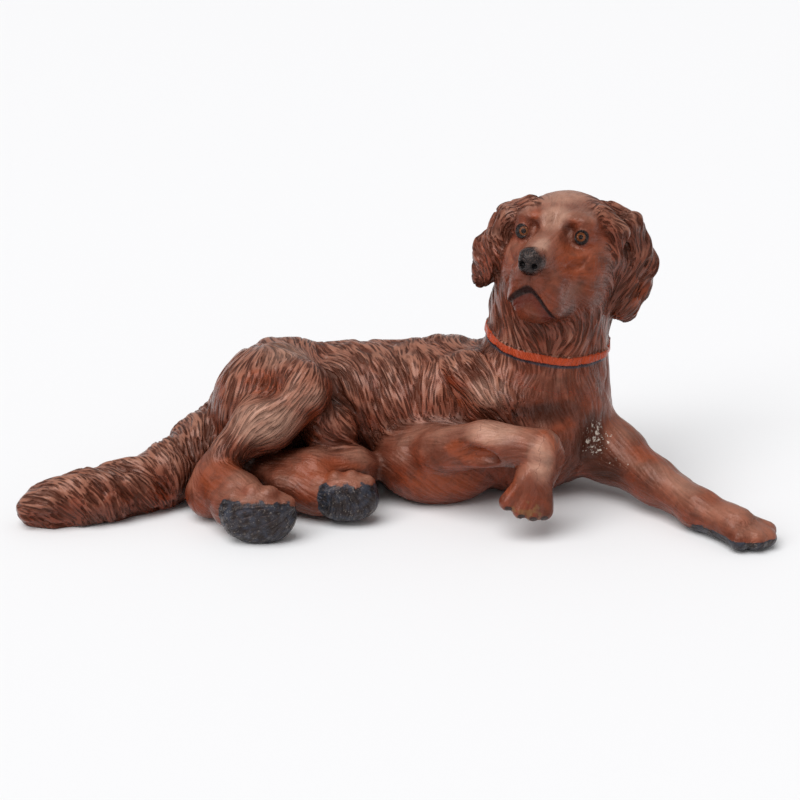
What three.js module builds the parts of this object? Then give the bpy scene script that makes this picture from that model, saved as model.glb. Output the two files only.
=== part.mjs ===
// A reclining retriever figure, cast in resin as one piece, lying on its hip with one foreleg stretched out.
// +X runs from the tail to the stretched paw, -Y faces the viewer, +Z is up, and the figure rests on z = 0.
// The body is a smooth union of tapered limbs, balls and eggs. Its surface is traced on a grid, thinned
// to the triangle budget and cut flat underneath.
import * as THREE from 'three';

// Driving dimensions, mm.
const figureLength = 400; // tail tip to stretched paw
const gridStep = 2.56; // spacing of the tracing grid
const collarWidth = 4.6; // height of the painted band round the neck
const collarRelief = 1; // how far the band stands proud
const lipGap = 1.3; // width of the line between the lips
const lipDepth = 1.4;
const jawInset = 1.6; // how far the jaw lies behind the upper lip
const tuftPitch = 8.4; // from crest to crest of the locks of hair
const tuftRelief = 0.8;
const lockRelief = 0.4; // the flatter locks on the body
const triangleBudget = 9400;

// Places and radii below are in shares, about a hundredth of the figure's length each.
const lengthShares = 102; // tail tip to stretched paw
const figureShare = figureLength / lengthShares;
const shares = (length) => length / figureShare;

// Vectors as plain arrays, for speed.
const add = (a, b) => [a[0] + b[0], a[1] + b[1], a[2] + b[2]];
const scaled = (a, s) => [a[0] * s, a[1] * s, a[2] * s];
const dot = (a, b) => a[0] * b[0] + a[1] * b[1] + a[2] * b[2];
const unit = (a) => scaled(a, 1 / Math.hypot(...a));
const cross = (a, b) => [
  a[1] * b[2] - a[2] * b[1],
  a[2] * b[0] - a[0] * b[2],
  a[0] * b[1] - a[1] * b[0],
];
const radians = THREE.MathUtils.degToRad;

// Distance to a limb that tapers from radius ra at a to radius rb at b, thinned by `flat` along `side`.
function taper(a, b, ra, rb, { side = null, flat = 1 } = {}) {
  const run = [b[0] - a[0], b[1] - a[1], b[2] - a[2]];
  const length2 = dot(run, run);
  const drop = ra - rb;
  const slope2 = length2 - drop * drop;
  const inverse = 1 / length2;
  const across = side ? unit(side) : [0, 0, 0];
  const stretch = 1 / flat - 1;
  const dist = (x, y, z) => {
    let px = x - a[0];
    let py = y - a[1];
    let pz = z - a[2];
    if (side) {
      const s = (px * across[0] + py * across[1] + pz * across[2]) * stretch;
      px += across[0] * s;
      py += across[1] * s;
      pz += across[2] * s;
    }
    const along = px * run[0] + py * run[1] + pz * run[2];
    const past = along - length2;
    const cx = px * length2 - run[0] * along;
    const cy = py * length2 - run[1] * along;
    const cz = pz * length2 - run[2] * along;
    const off2 = cx * cx + cy * cy + cz * cz;
    const along2 = along * along * length2;
    const past2 = past * past * length2;
    const k = Math.sign(drop) * drop * drop * off2;
    if (Math.sign(past) * slope2 * past2 > k) return Math.sqrt(off2 + past2) * inverse - rb;
    if (Math.sign(along) * slope2 * along2 < k) return Math.sqrt(off2 + along2) * inverse - ra;
    return (Math.sqrt(off2 * slope2 * inverse) + along * drop) * inverse - ra;
  };
  return { dist, centre: scaled(add(a, b), 0.5), reach: Math.sqrt(length2) / 2 + Math.max(ra, rb) };
}

// Distance to an egg of three radii whose axes are the rows of `axes`, squarer as `power` grows past 2.
function egg(c, radii, { axes = null, power = 2 } = {}) {
  const dist = (x, y, z) => {
    let p = [x - c[0], y - c[1], z - c[2]];
    if (axes) p = axes.map((axis) => dot(axis, p));
    const q = p.map((v, i) => Math.abs(v) / radii[i] + 1e-9);
    const size = (q[0] ** power + q[1] ** power + q[2] ** power) ** (1 / power);
    const steep = Math.hypot(...q.map((v, i) => v ** (power - 1) / radii[i]));
    return (size ** (power - 1) * (size - 1)) / steep;
  };
  return { dist, centre: c, reach: Math.max(...radii) * 3 ** (0.5 - 1 / power) };
}

const join = (shape, blend = 1) => ({ ...shape, blend, cut: false });
const carve = (shape, blend = 0.4) => ({ ...shape, blend, cut: true });

// A run of tapered limbs through `points`, each given as [x, y, z, radius].
function limb(points, blend, options) {
  return points.slice(1).map((p, i) => {
    const from = points[i];
    return join(taper(from.slice(0, 3), p.slice(0, 3), from[3], p[3], options), blend);
  });
}

// Torso: pelvis, loin, rib cage, chest and the thick neck.
function torso() {
  return [
    join(egg([-17.6, 3.4, 10.8], [9.2, 8.4, 9.9]), 1),
    ...limb([[-16, 4, 11, 8.4], [-6, 4.6, 10, 9.2], [6, 3.2, 10.2, 10.4]], 3),
    join(egg([7, 2.8, 10], [13, 9.8, 10.5]), 3),
    join(egg([18, -0.6, 10.4], [12, 10.4, 11.4]), 3),
    join(egg([-9.7, -6.8, 9.9], [4, 3.2, 4.2]), 1.2),
    ...limb([[20.2, -0.6, 13.5, 9.8], [21.2, -0.8, 21, 8.5]], 2.5),
    ...limb([[20.5, -0.6, 21, 8.3], [21.3, -0.4, 26.6, 8.5], [22.6, -0.6, 31, 7.9]], 1),
    ...limb([[9.4, -4.2, 18.6, 2.6], [15, -7.6, 13, 3.4]], 3),
    carve(egg([20.6, -11.9, 13.8], [4.4, 1.7, 1.6]), 1.8),
  ];
}

// Toes as short tapers that start `run` of the way back from each tip to a common root.
function toes(tips, root, radius, { run = 0.45, blend = 0.35 } = {}) {
  return tips.map((tip) => join(taper(add(scaled(tip, 1 - run), scaled(root, run)), tip, radius, radius), blend));
}

// Near hind leg: thigh with a soft hollow, lower leg, heel and the long foot with its sole to the viewer.
function nearHindLeg() {
  return [
    join(egg([-20, -1.6, 11.4], [7.2, 7.4, 8.8]), 2.5),
    ...limb([[-17.6, -2.5, 15.4, 5.8], [-13.6, -7.4, 16.8, 3.8]], 2),
    ...limb([[-13.6, -8, 16.6, 3.5], [-18.2, -9.8, 13, 3.9], [-23.4, -12, 9.2, 2.4]], 2.2),
    carve(egg([-20.4, -10.2, 17.6], [4, 1.8, 1.5]), 2.6),
    ...limb([[-25.2, -12.8, 6.8, 2.7], [-26, -13.6, 3.6, 3.5]], 1.6),
    ...limb([[-24.8, -13.6, 5.6, 3.2], [-21.8, -18.2, 4.4, 3.7], [-19, -20.6, 3.6, 3.4]], 0.8),
    join(egg([-18.6, -21.4, 3.5], [4.9, 2.8, 3.8], { power: 2.2 }), 0.5),
    ...toes([[-21.7, -21, 5.9], [-19.4, -21.4, 6.7], [-17, -21.6, 6.4], [-15, -21.8, 5.2]], [-20, -18, 4.6], 1.3),
  ];
}

// Far hind leg, folded under the belly, with its foot forward.
function farHindLeg() {
  return [
    ...limb([[-19, -8, 4.6, 3.4], [-12, -11, 5.6, 3.3], [-6.5, -9, 5.4, 3.4]], 0.8),
    ...limb([[-16, -12, 4.2, 2.9], [-11, -13.6, 3.8, 3.4]], 0.8),
    join(egg([-7, -15.4, 3.8], [4.1, 2.7, 3.2], { power: 2.6 }), 0.5),
    ...toes([[-8.8, -15.2, 6.3], [-6.6, -15.4, 6.4], [-4.4, -15.6, 5.8]], [-8, -13.6, 4], 1.1),
  ];
}

function tail() {
  return limb(
    [
      [-23, 2, 8.4, 5.8], [-28, -1.4, 6.2, 4.7], [-32.9, -8, 4.2, 4.2], [-36, -10.5, 3.6, 3.8],
      [-39.8, -13.1, 3.4, 3.7], [-43.6, -14.6, 3.2, 3.5], [-47.2, -15.5, 2.8, 3.2], [-50.1, -15.9, 2.2, 2.4],
    ],
    1.5,
  );
}

// Near foreleg, folded, with a hollow along the forearm and the paw hanging from the wrist.
function nearForeleg() {
  return [
    join(egg([5.4, -6.4, 5.6], [9, 6.2, 6.2]), 2),
    ...limb([[5.2, -10.6, 8.6, 3.3], [11.6, -14.8, 11.2, 3], [18.7, -18.4, 11.8, 2.7]], 1.2),
    carve(egg([8.9, -17.5, 10.2], [4.4, 1.8, 1.4]), 1.2),
    join(taper([19, -18.8, 11], [17.4, -19.8, 6.8], 2.8, 2.7, { side: [0, -1, 0.2], flat: 0.75 }), 0.6),
    ...toes([[14.2, -21, 5.3], [15.9, -21.5, 4.4], [17.5, -21.5, 4.1], [19, -21.1, 4]], [18.6, -20, 10.8], 1.25, {
      run: 0.75,
    }),
  ];
}

// Far foreleg, stretched out along the ground.
function farForeleg() {
  return [
    ...limb(
      [[25, -1, 8.4, 6.2], [30.8, -4.8, 6, 4.2], [35.4, -10.8, 4.3, 3], [40.4, -17.4, 2.8, 2.6], [44.4, -22, 2.2, 2.6]],
      1.5,
    ),
    ...toes([[44, -25, 1.7], [46.2, -24.8, 1.6], [47.8, -23.8, 1.6], [48.2, -22.2, 1.6]], [42.6, -20, 2.8], 1.4, {
      run: 0.75,
      blend: 0.7,
    }),
  ];
}

// The head, in its own frame: forward to the nose, left and up.
const headCentre = [22.9, -1.2, 36.4];
const headYaw = radians(24); // turned from the viewer towards the tail
const headPitch = radians(4); // the nose is lifted
const headRoll = radians(1.5); // the left side hangs lower
const headForward = unit([-Math.sin(headYaw), -Math.cos(headYaw), Math.tan(headPitch)]);
const headLevel = unit(cross([0, 0, 1], headForward));
const headTrueUp = cross(headForward, headLevel);
const headLeft = unit(add(scaled(headLevel, Math.cos(headRoll)), scaled(headTrueUp, -Math.sin(headRoll))));
const headUp = cross(headForward, headLeft);
const headAxes = [headForward, headLeft, headUp];
const onHead = (f, l, u) =>
  add(headCentre, add(scaled(headForward, f), add(scaled(headLeft, l), scaled(headUp, u))));

// Skull, cheeks, muzzle with its hanging lips, jaw, brows, eyes and nose, mirrored about the head's middle.
function head() {
  const both = (form) => [-1, 1].map(form);
  const turned = (place, radii, power = 2) => egg(onHead(...place), radii, { axes: headAxes, power });
  return [
    join(turned([-0.6, 0, 0.2], [7.3, 7.4, 6.5]), 1.6),
    ...both((s) => join(turned([3.2, 4.1 * s, -4], [5.4, 3.4, 5.6]), 2)),
    join(taper(onHead(5, 0, -2.6), onHead(11, 0, -3.4), 4.6, 3.5), 1.6),
    join(taper(onHead(5.4, 0, -0.2), onHead(12.9, 0, -1.4), 3, 2.1), 1),
    ...both((s) => join(turned([9.4, 2.1 * s, -5.2], [4, 1.8, 3.6]), 1.2)),
    ...both((s) => join(taper(onHead(3, 1.5 * s, -6.6), onHead(10.3, 1 * s, -7), 3.7, 3), 1)),
    ...both((s) => join(turned([5, 3.3 * s, 3.1], [1.6, 2.2, 1.1]), 2.4)),
    ...both((s) => carve(turned([7.7, 4.2 * s, 1.3], [1.5, 1.7, 1.3]), 1.5)),
    ...both((s) => join(turned([5.6, 4 * s, 1.4], [1.3, 1.3, 1.3]), 0.3)),
    join(turned([14.2, 0, -1.2], [1.6, 1.75, 1.8], 2.8), 0.3),
  ];
}

// The hanging ears, thin across, with a lock of hair in front of the left one.
function ears() {
  return [
    ...limb([[28.2, -1, 39.8, 2.2], [31.9, -1.2, 37.2, 2.9], [33, -1.8, 32.4, 3.5], [31.3, -2.6, 28.4, 3.2]], 0.9, {
      side: [0.55, -0.83, 0],
      flat: 0.5,
    }),
    ...limb([[27.6, -3.6, 40.6, 1.1], [29.5, -4.4, 37.8, 1.3], [29.3, -4.6, 34.4, 1.3], [28.5, -4.4, 31.2, 1]], 1.2),
    ...limb([[18, -1, 40.3, 2.4], [14.7, -0.2, 38.7, 2.7], [12.6, -0.4, 34.4, 3.1], [11, -0.9, 31.2, 1.9]], 0.9, {
      side: [-0.85, -0.5, 0],
      flat: 0.55,
    }),
  ];
}

const forms = [
  ...torso(),
  ...nearHindLeg(),
  ...farHindLeg(),
  ...tail(),
  ...nearForeleg(),
  ...farForeleg(),
  ...head(),
  ...ears(),
];

// The collar lies in a tilted plane round the neck.
const collarPoint = [21.2, -0.7, 22.5];
const collarNormal = unit([0.1, -0.136, 0.985]);
const collarReach = 11; // beyond this from the neck's middle nothing is raised

// How far the collar band lifts the surface.
function collarLift(p) {
  const off = add(p, scaled(collarPoint, -1));
  if (dot(off, off) > collarReach * collarReach) return 0;
  const height = Math.abs(dot(off, collarNormal)) / (shares(collarWidth) / 2);
  return shares(collarRelief) * THREE.MathUtils.smoothstep(1.25 - height, 0, 0.5);
}

// The line between the lips falls backwards, to both sides from a rounded bow, and more to the dog's left.
// Below it the jaw lies a little behind the upper lip.
const lipFront = [13.4, -5.2]; // forward and up on the head, where the line starts
const lipFall = { back: 0.3, sides: 1, lean: 0.35, bow: 0.7 };

function mouthSink(p) {
  const off = add(p, scaled(headCentre, -1));
  const f = dot(off, headForward);
  const l = dot(off, headLeft);
  if (f < 8.4 || Math.abs(l) > 6) return 0;
  const aside = Math.hypot(l, lipFall.bow) - lipFall.bow;
  const line = lipFront[1] - lipFall.back * (lipFront[0] - f) - lipFall.sides * aside - lipFall.lean * l;
  const below = line - dot(off, headUp);
  const jaw = THREE.MathUtils.smoothstep(below, 0, 0.4) * (1 - THREE.MathUtils.smoothstep(below, 1, 3.6));
  const sink = shares(lipDepth) * Math.exp(-((below / shares(lipGap)) ** 2)) + shares(jawInset) * jaw;
  return THREE.MathUtils.smoothstep(f, 8.4, 9.8) * sink;
}

// Combed tufts: slanting ridges across the tail, and waves down the ears.
function tuftLift([x, y, z]) {
  const onTail = THREE.MathUtils.smoothstep(-30 - x, 0, 4);
  const onEars = THREE.MathUtils.smoothstep(Math.abs(x - 22.6), 8.2, 9.4) * THREE.MathUtils.smoothstep(z, 26, 29);
  const tailPhase = (x + 0.45 * z + 0.5 * Math.sin(0.9 * x + y)) / shares(tuftPitch);
  const earPhase = (z + 0.5 * x + 0.4 * Math.sin(1.3 * z)) / shares(tuftPitch);
  return shares(tuftRelief) * (onTail * Math.sin(tailPhase * 2 * Math.PI) + onEars * Math.sin(earPhase * 2 * Math.PI));
}

// Flatter locks on the body, each a patch of ridges that run along the hair, whose crests follow one another
// in the direction `across`.
const lockPatches = [
  { at: [-19, -7, 13], reach: 9, across: unit([1, 0, -0.3]) }, // thigh
  { at: [-4, -7, 13], reach: 8, across: unit([0.8, 0, 0.6]) }, // flank, running down towards the chest
  { at: [7, -8, 13], reach: 8, across: unit([0.8, 0, -0.6]) }, // ribs, running down towards the flank
  { at: [20, -10, 19], reach: 8, across: unit([1, 0, 0.15]) }, // chest
];

function lockLift(p) {
  return lockPatches.reduce((sum, { at, reach, across }) => {
    const off = add(p, scaled(at, -1));
    const within = 1 - THREE.MathUtils.smoothstep(Math.hypot(...off), 0.5 * reach, reach);
    const sway = 0.35 * Math.sin(0.8 * p[2] + 0.5 * p[0]);
    return sum + within * Math.sin(((dot(off, across) + sway) / shares(tuftPitch)) * 2 * Math.PI);
  }, 0) * shares(lockRelief);
}

// Signed distance to the whole figure: joined forms melt together over their blend, carved ones are taken out.
// A form too far away to matter is passed over.
const nearby = 2;

function figureDistance(x, y, z) {
  let d = 1e3;
  for (const { dist, centre, reach, blend, cut } of forms) {
    const away2 = (x - centre[0]) ** 2 + (y - centre[1]) ** 2 + (z - centre[2]) ** 2;
    const far = reach + (cut ? blend : Math.min(d + blend, nearby));
    if (far < 0 || away2 > far * far) continue;
    const e = cut ? -dist(x, y, z) : dist(x, y, z);
    const sign = cut ? -1 : 1;
    const overlap = Math.max(blend - Math.abs(d - e), 0) / blend;
    d = sign * Math.min(sign * d, sign * e) - (sign * overlap * overlap * blend) / 4;
  }
  if (Math.abs(d) < nearby) {
    const p = [x, y, z];
    d += mouthSink(p) - collarLift(p) - tuftLift(p) - lockLift(p);
  }
  return Math.max(d, -z);
}

// Where the corners of a grid square alternate between inside and outside, the surface would touch itself
// along an edge, so one of the outside corners is filled.
function fillPinches(value, strides) {
  const last = value.length - strides[1] - strides[2];
  const filled = -1e-3;
  for (let changed = true; changed; ) {
    changed = false;
    for (let base = 0; base < last; base++)
      for (let axis = 0; axis < 3; axis++) {
        const u = strides[axis];
        const v = strides[(axis + 1) % 3];
        const inside = value[base] < 0;
        if (inside !== value[base + u + v] < 0) continue;
        if (inside === value[base + u] < 0 || inside === value[base + v] < 0) continue;
        value[inside ? base + u : base] = filled;
        changed = true;
      }
  }
}

// Traces the zero level of `distance` with one vertex in each grid cell that it crosses (surface nets).
// Blocks of the grid whose middle is far from the surface take the middle's value throughout.
const blockCells = 3;
const blockMargin = 1.6;

function traceSurface(distance, low, high, step) {
  const count = low.map((l, i) => Math.ceil((high[i] - l) / step) + 1);
  const [nx, ny, nz] = count;
  const at = (i, j, k) => i + nx * (j + ny * k);
  const value = new Float32Array(nx * ny * nz);
  const half = ((blockCells - 1) / 2) * step;
  const clear = blockMargin * Math.sqrt(3) * (half + step);
  for (let k0 = 0; k0 < nz; k0 += blockCells)
    for (let j0 = 0; j0 < ny; j0 += blockCells)
      for (let i0 = 0; i0 < nx; i0 += blockCells) {
        const middle = [i0, j0, k0].map((n, m) => low[m] + n * step + half);
        const d = distance(...middle);
        const isClear = Math.abs(d) > clear;
        for (let k = k0; k < Math.min(k0 + blockCells, nz); k++)
          for (let j = j0; j < Math.min(j0 + blockCells, ny); j++)
            for (let i = i0; i < Math.min(i0 + blockCells, nx); i++)
              value[at(i, j, k)] = isClear ? d : distance(low[0] + i * step, low[1] + j * step, low[2] + k * step);
      }
  fillPinches(value, [1, nx, nx * ny]);
  const vertexOf = new Int32Array(nx * ny * nz).fill(-1);
  const points = [];
  const corners = [0, 1, nx, nx + 1, nx * ny, nx * ny + 1, nx * ny + nx, nx * ny + nx + 1];
  const offset = corners.map((_, c) => [c & 1, (c >> 1) & 1, c >> 2]);
  const edges = [[0, 1], [2, 3], [4, 5], [6, 7], [0, 2], [1, 3], [4, 6], [5, 7], [0, 4], [1, 5], [2, 6], [3, 7]];
  for (let k = 0; k < nz - 1; k++)
    for (let j = 0; j < ny - 1; j++)
      for (let i = 0; i < nx - 1; i++) {
        const base = at(i, j, k);
        const sum = [0, 0, 0];
        let crossings = 0;
        for (const [a, b] of edges) {
          const va = value[base + corners[a]];
          const vb = value[base + corners[b]];
          if (va < 0 === vb < 0) continue;
          const t = va / (va - vb);
          for (let m = 0; m < 3; m++) sum[m] += offset[a][m] + t * (offset[b][m] - offset[a][m]);
          crossings += 1;
        }
        if (!crossings) continue;
        vertexOf[base] = points.length;
        points.push([i, j, k].map((n, m) => low[m] + (n + sum[m] / crossings) * step));
      }
  const faces = [];
  const strides = [1, nx, nx * ny];
  for (let k = 1; k < nz - 1; k++)
    for (let j = 1; j < ny - 1; j++)
      for (let i = 1; i < nx - 1; i++) {
        const base = at(i, j, k);
        for (let axis = 0; axis < 3; axis++) {
          const inside = value[base] < 0;
          if (inside === value[base + strides[axis]] < 0) continue;
          const u = strides[(axis + 1) % 3];
          const v = strides[(axis + 2) % 3];
          const ring = [base, base - u, base - u - v, base - v].map((c) => vertexOf[c]);
          if (!inside) ring.reverse();
          faces.push([ring[0], ring[1], ring[2]], [ring[0], ring[2], ring[3]]);
        }
      }
  return { points, faces };
}

// Thins a closed mesh to `budget` triangles by folding its cheapest edges away, each cost being the squared
// distance to the planes that met there. A fold that would pinch the mesh or turn a face over is left out.
function thin({ points, faces }, budget) {
  const quadric = points.map(() => new Float64Array(10));
  const around = points.map(() => new Set());
  const normalOf = (a, b, c) => {
    const u = [b[0] - a[0], b[1] - a[1], b[2] - a[2]];
    const v = [c[0] - a[0], c[1] - a[1], c[2] - a[2]];
    return cross(u, v);
  };
  faces.forEach((face, f) => {
    const [a, b, c] = face.map((v) => points[v]);
    const normal = normalOf(a, b, c);
    const area = Math.hypot(...normal) || 1e-12;
    const n = scaled(normal, 1 / area);
    const w = -dot(n, a);
    const q = [
      n[0] * n[0], n[0] * n[1], n[0] * n[2], n[0] * w, n[1] * n[1],
      n[1] * n[2], n[1] * w, n[2] * n[2], n[2] * w, w * w,
    ];
    for (const v of face) {
      around[v].add(f);
      q.forEach((term, i) => (quadric[v][i] += term * area));
    }
  });
  const error = (q, [x, y, z]) =>
    q[0] * x * x + 2 * q[1] * x * y + 2 * q[2] * x * z + 2 * q[3] * x + q[4] * y * y +
    2 * q[5] * y * z + 2 * q[6] * y + q[7] * z * z + 2 * q[8] * z + q[9];
  const stamp = new Int32Array(points.length);
  const heap = [];
  const less = (a, b) => heap[a].cost < heap[b].cost;
  const swap = (a, b) => ([heap[a], heap[b]] = [heap[b], heap[a]]);
  function push(item) {
    heap.push(item);
    for (let i = heap.length - 1; i > 0; ) {
      const parent = (i - 1) >> 1;
      if (!less(i, parent)) break;
      swap(i, parent);
      i = parent;
    }
  }
  function pop() {
    const top = heap[0];
    const last = heap.pop();
    if (heap.length) {
      heap[0] = last;
      for (let i = 0; ; ) {
        let least = i;
        for (const child of [2 * i + 1, 2 * i + 2]) if (child < heap.length && less(child, least)) least = child;
        if (least === i) break;
        swap(i, least);
        i = least;
      }
    }
    return top;
  }
  function bestSpot(q, a, b) {
    const middle = scaled(add(a, b), 0.5);
    const m = new THREE.Matrix3().set(q[0], q[1], q[2], q[1], q[4], q[5], q[2], q[5], q[7]);
    const spots = [a, b, middle];
    const reach2 = dot(add(a, scaled(b, -1)), add(a, scaled(b, -1)));
    if (Math.abs(m.determinant()) > 1e-9) {
      const solved = new THREE.Vector3(-q[3], -q[6], -q[8]).applyMatrix3(m.invert()).toArray();
      const off = add(solved, scaled(middle, -1));
      if (dot(off, off) < reach2) spots.push(solved);
    }
    return spots.reduce((best, s) => (error(q, s) < error(q, best) ? s : best));
  }
  function offer(u, v) {
    const q = quadric[u].map((term, i) => term + quadric[v][i]);
    const spot = bestSpot(q, points[u], points[v]);
    const gap = add(points[u], scaled(points[v], -1));
    const cost = error(q, spot) + 1e-5 * dot(gap, gap);
    push({ cost, u, v, spot, q, mark: stamp[u] + stamp[v] });
  }
  const ringOf = (v) => {
    const ring = new Set();
    for (const f of around[v]) for (const w of faces[f]) if (w !== v) ring.add(w);
    return ring;
  };
  const turnsOver = (v, gone, spot) =>
    [...around[v]].some((f) => {
      if (faces[f].includes(gone)) return false;
      const before = faces[f].map((w) => points[w]);
      const after = faces[f].map((w) => (w === v ? spot : points[w]));
      const n0 = normalOf(...before);
      const n1 = normalOf(...after);
      return dot(n0, n1) < 0.3 * Math.hypot(...n0) * Math.hypot(...n1);
    });
  points.forEach((_, v) => {
    for (const w of ringOf(v)) if (w > v) offer(v, w);
  });
  let left = faces.length;
  while (left > budget && heap.length) {
    const { u, v, spot, q, mark } = pop();
    if (!quadric[u] || !quadric[v] || mark !== stamp[u] + stamp[v]) continue;
    const ringU = ringOf(u);
    const ringV = ringOf(v);
    if (!ringU.has(v) || [...ringU].filter((w) => ringV.has(w)).length !== 2) continue;
    if (turnsOver(u, v, spot) || turnsOver(v, u, spot)) continue;
    for (const f of around[v]) {
      if (faces[f].includes(u)) {
        for (const w of faces[f]) if (w !== v) around[w].delete(f);
        faces[f] = null;
        left -= 1;
      } else {
        faces[f] = faces[f].map((w) => (w === v ? u : w));
        around[u].add(f);
      }
    }
    quadric[v] = null;
    quadric[u] = q;
    points[u] = spot;
    stamp[u] += 1;
    for (const w of ringOf(u)) offer(u, w);
  }
  const kept = new Map();
  const closed = faces.filter(Boolean).map((face) =>
    face.map((v) => {
      if (!kept.has(v)) kept.set(v, kept.size);
      return kept.get(v);
    }),
  );
  return { points: [...kept.keys()].map((v) => points[v]), faces: closed };
}

const lowCorner = [-54, -29, -2];
const highCorner = [52, 17, 47];
const surface = thin(traceSurface(figureDistance, lowCorner, highCorner, shares(gridStep)), triangleBudget);

// The middle of the figure's box is set over the origin, and what lies within a hair of the ground lies on it.
const groundHair = 0.03;
const box = new THREE.Box3().setFromPoints(surface.points.map((p) => new THREE.Vector3(...p)));
const middle = box.getCenter(new THREE.Vector3());
const placed = surface.points.flatMap(([x, y, z]) =>
  scaled([x - middle.x, y - middle.y, z < groundHair ? 0 : z], figureShare),
);
const geometry = new THREE.BufferGeometry()
  .setAttribute('position', new THREE.BufferAttribute(new Float32Array(placed), 3))
  .setIndex(surface.faces.flat());
geometry.computeVertexNormals();

const paintedResin = new THREE.MeshStandardMaterial({ color: 0x6b3527, roughness: 0.45, metalness: 0 });
const figure = new THREE.Mesh(geometry, paintedResin);
figure.name = 'retriever_figure';

const part = new THREE.Group();
part.add(figure);
export default part;
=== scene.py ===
"""A reclining retriever cast in resin and painted by hand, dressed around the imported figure.

Lengths are in shares, about a hundredth of the figure's length each, until a mesh is set into the frame
in metres.
+X runs from the tail to the stretched forepaw, -Y faces the viewer and +Z is up.
"""
import itertools
import logging
import math
from dataclasses import dataclass, field
from enum import Enum
from typing import Callable, Iterable, Iterator, Optional, Sequence

import bpy
import numpy as np
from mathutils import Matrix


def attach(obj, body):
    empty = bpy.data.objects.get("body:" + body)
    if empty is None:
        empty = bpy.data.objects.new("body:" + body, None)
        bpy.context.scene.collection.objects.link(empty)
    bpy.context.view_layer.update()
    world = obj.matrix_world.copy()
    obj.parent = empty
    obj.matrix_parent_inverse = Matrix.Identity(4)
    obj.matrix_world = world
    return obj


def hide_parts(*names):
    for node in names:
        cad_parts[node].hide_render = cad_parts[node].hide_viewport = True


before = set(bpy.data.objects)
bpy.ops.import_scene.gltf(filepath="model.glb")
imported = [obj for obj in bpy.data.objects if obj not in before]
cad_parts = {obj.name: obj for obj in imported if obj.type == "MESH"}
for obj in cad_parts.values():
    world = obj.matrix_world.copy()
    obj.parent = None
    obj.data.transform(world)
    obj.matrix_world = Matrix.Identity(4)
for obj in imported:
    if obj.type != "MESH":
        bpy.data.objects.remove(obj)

LOG = logging.getLogger("retriever")
NODE = "retriever_figure"
FIGURE_LENGTH = 0.400
LENGTH_SHARES = 102
SHARE = FIGURE_LENGTH / LENGTH_SHARES

# The grid is worked through in blocks of this many lines a side, so many blocks at a time.
BLOCK = 4
CHUNK = 12000

# The dog's right side, then its left.
SIDES = (-1, 1)

Vector = Sequence[float]
Array = np.ndarray
Socket = bpy.types.NodeSocket


def unit(v: Vector) -> Array:
    """A vector of length one along `v`."""
    a = np.asarray(v, float)
    return a / np.linalg.norm(a)


def lengths(rows: Array) -> Array:
    """The length of each row, one a row and never 0."""
    return np.maximum(np.linalg.norm(rows, axis=1, keepdims=True), 1e-6)


def smoothstep(x: Array, low: float, high: float) -> Array:
    """Rises from 0 at `low` to 1 at `high` along 3t² - 2t³."""
    t = np.clip((x - low) / (high - low), 0, 1)
    return t * t * (3 - 2 * t)


class Coat(Enum):
    """How the hair is carved on a stretch of the figure: groove depth, lock height and waviness, in shares."""

    BODY = (0.22, 0.20, 0.5)
    THIGH = (0.16, 0.10, 0.3)
    TAIL = (0.34, 0.34, 0.35)
    NECK = (0.18, 0.18, 0.7)
    CHEST = (0.07, 0.16, 0.7)
    LEG = (0.06, 0.08, 0.6)
    PAW = (0.05, 0.10, 0.6)
    FACE = (0.05, 0.02, 0.3)
    EAR = (0.32, 0.36, 0.6)

    @property
    def style(self) -> Array:
        """Groove depth, lock height and waviness as an array."""
        return np.array(self.value)


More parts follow.
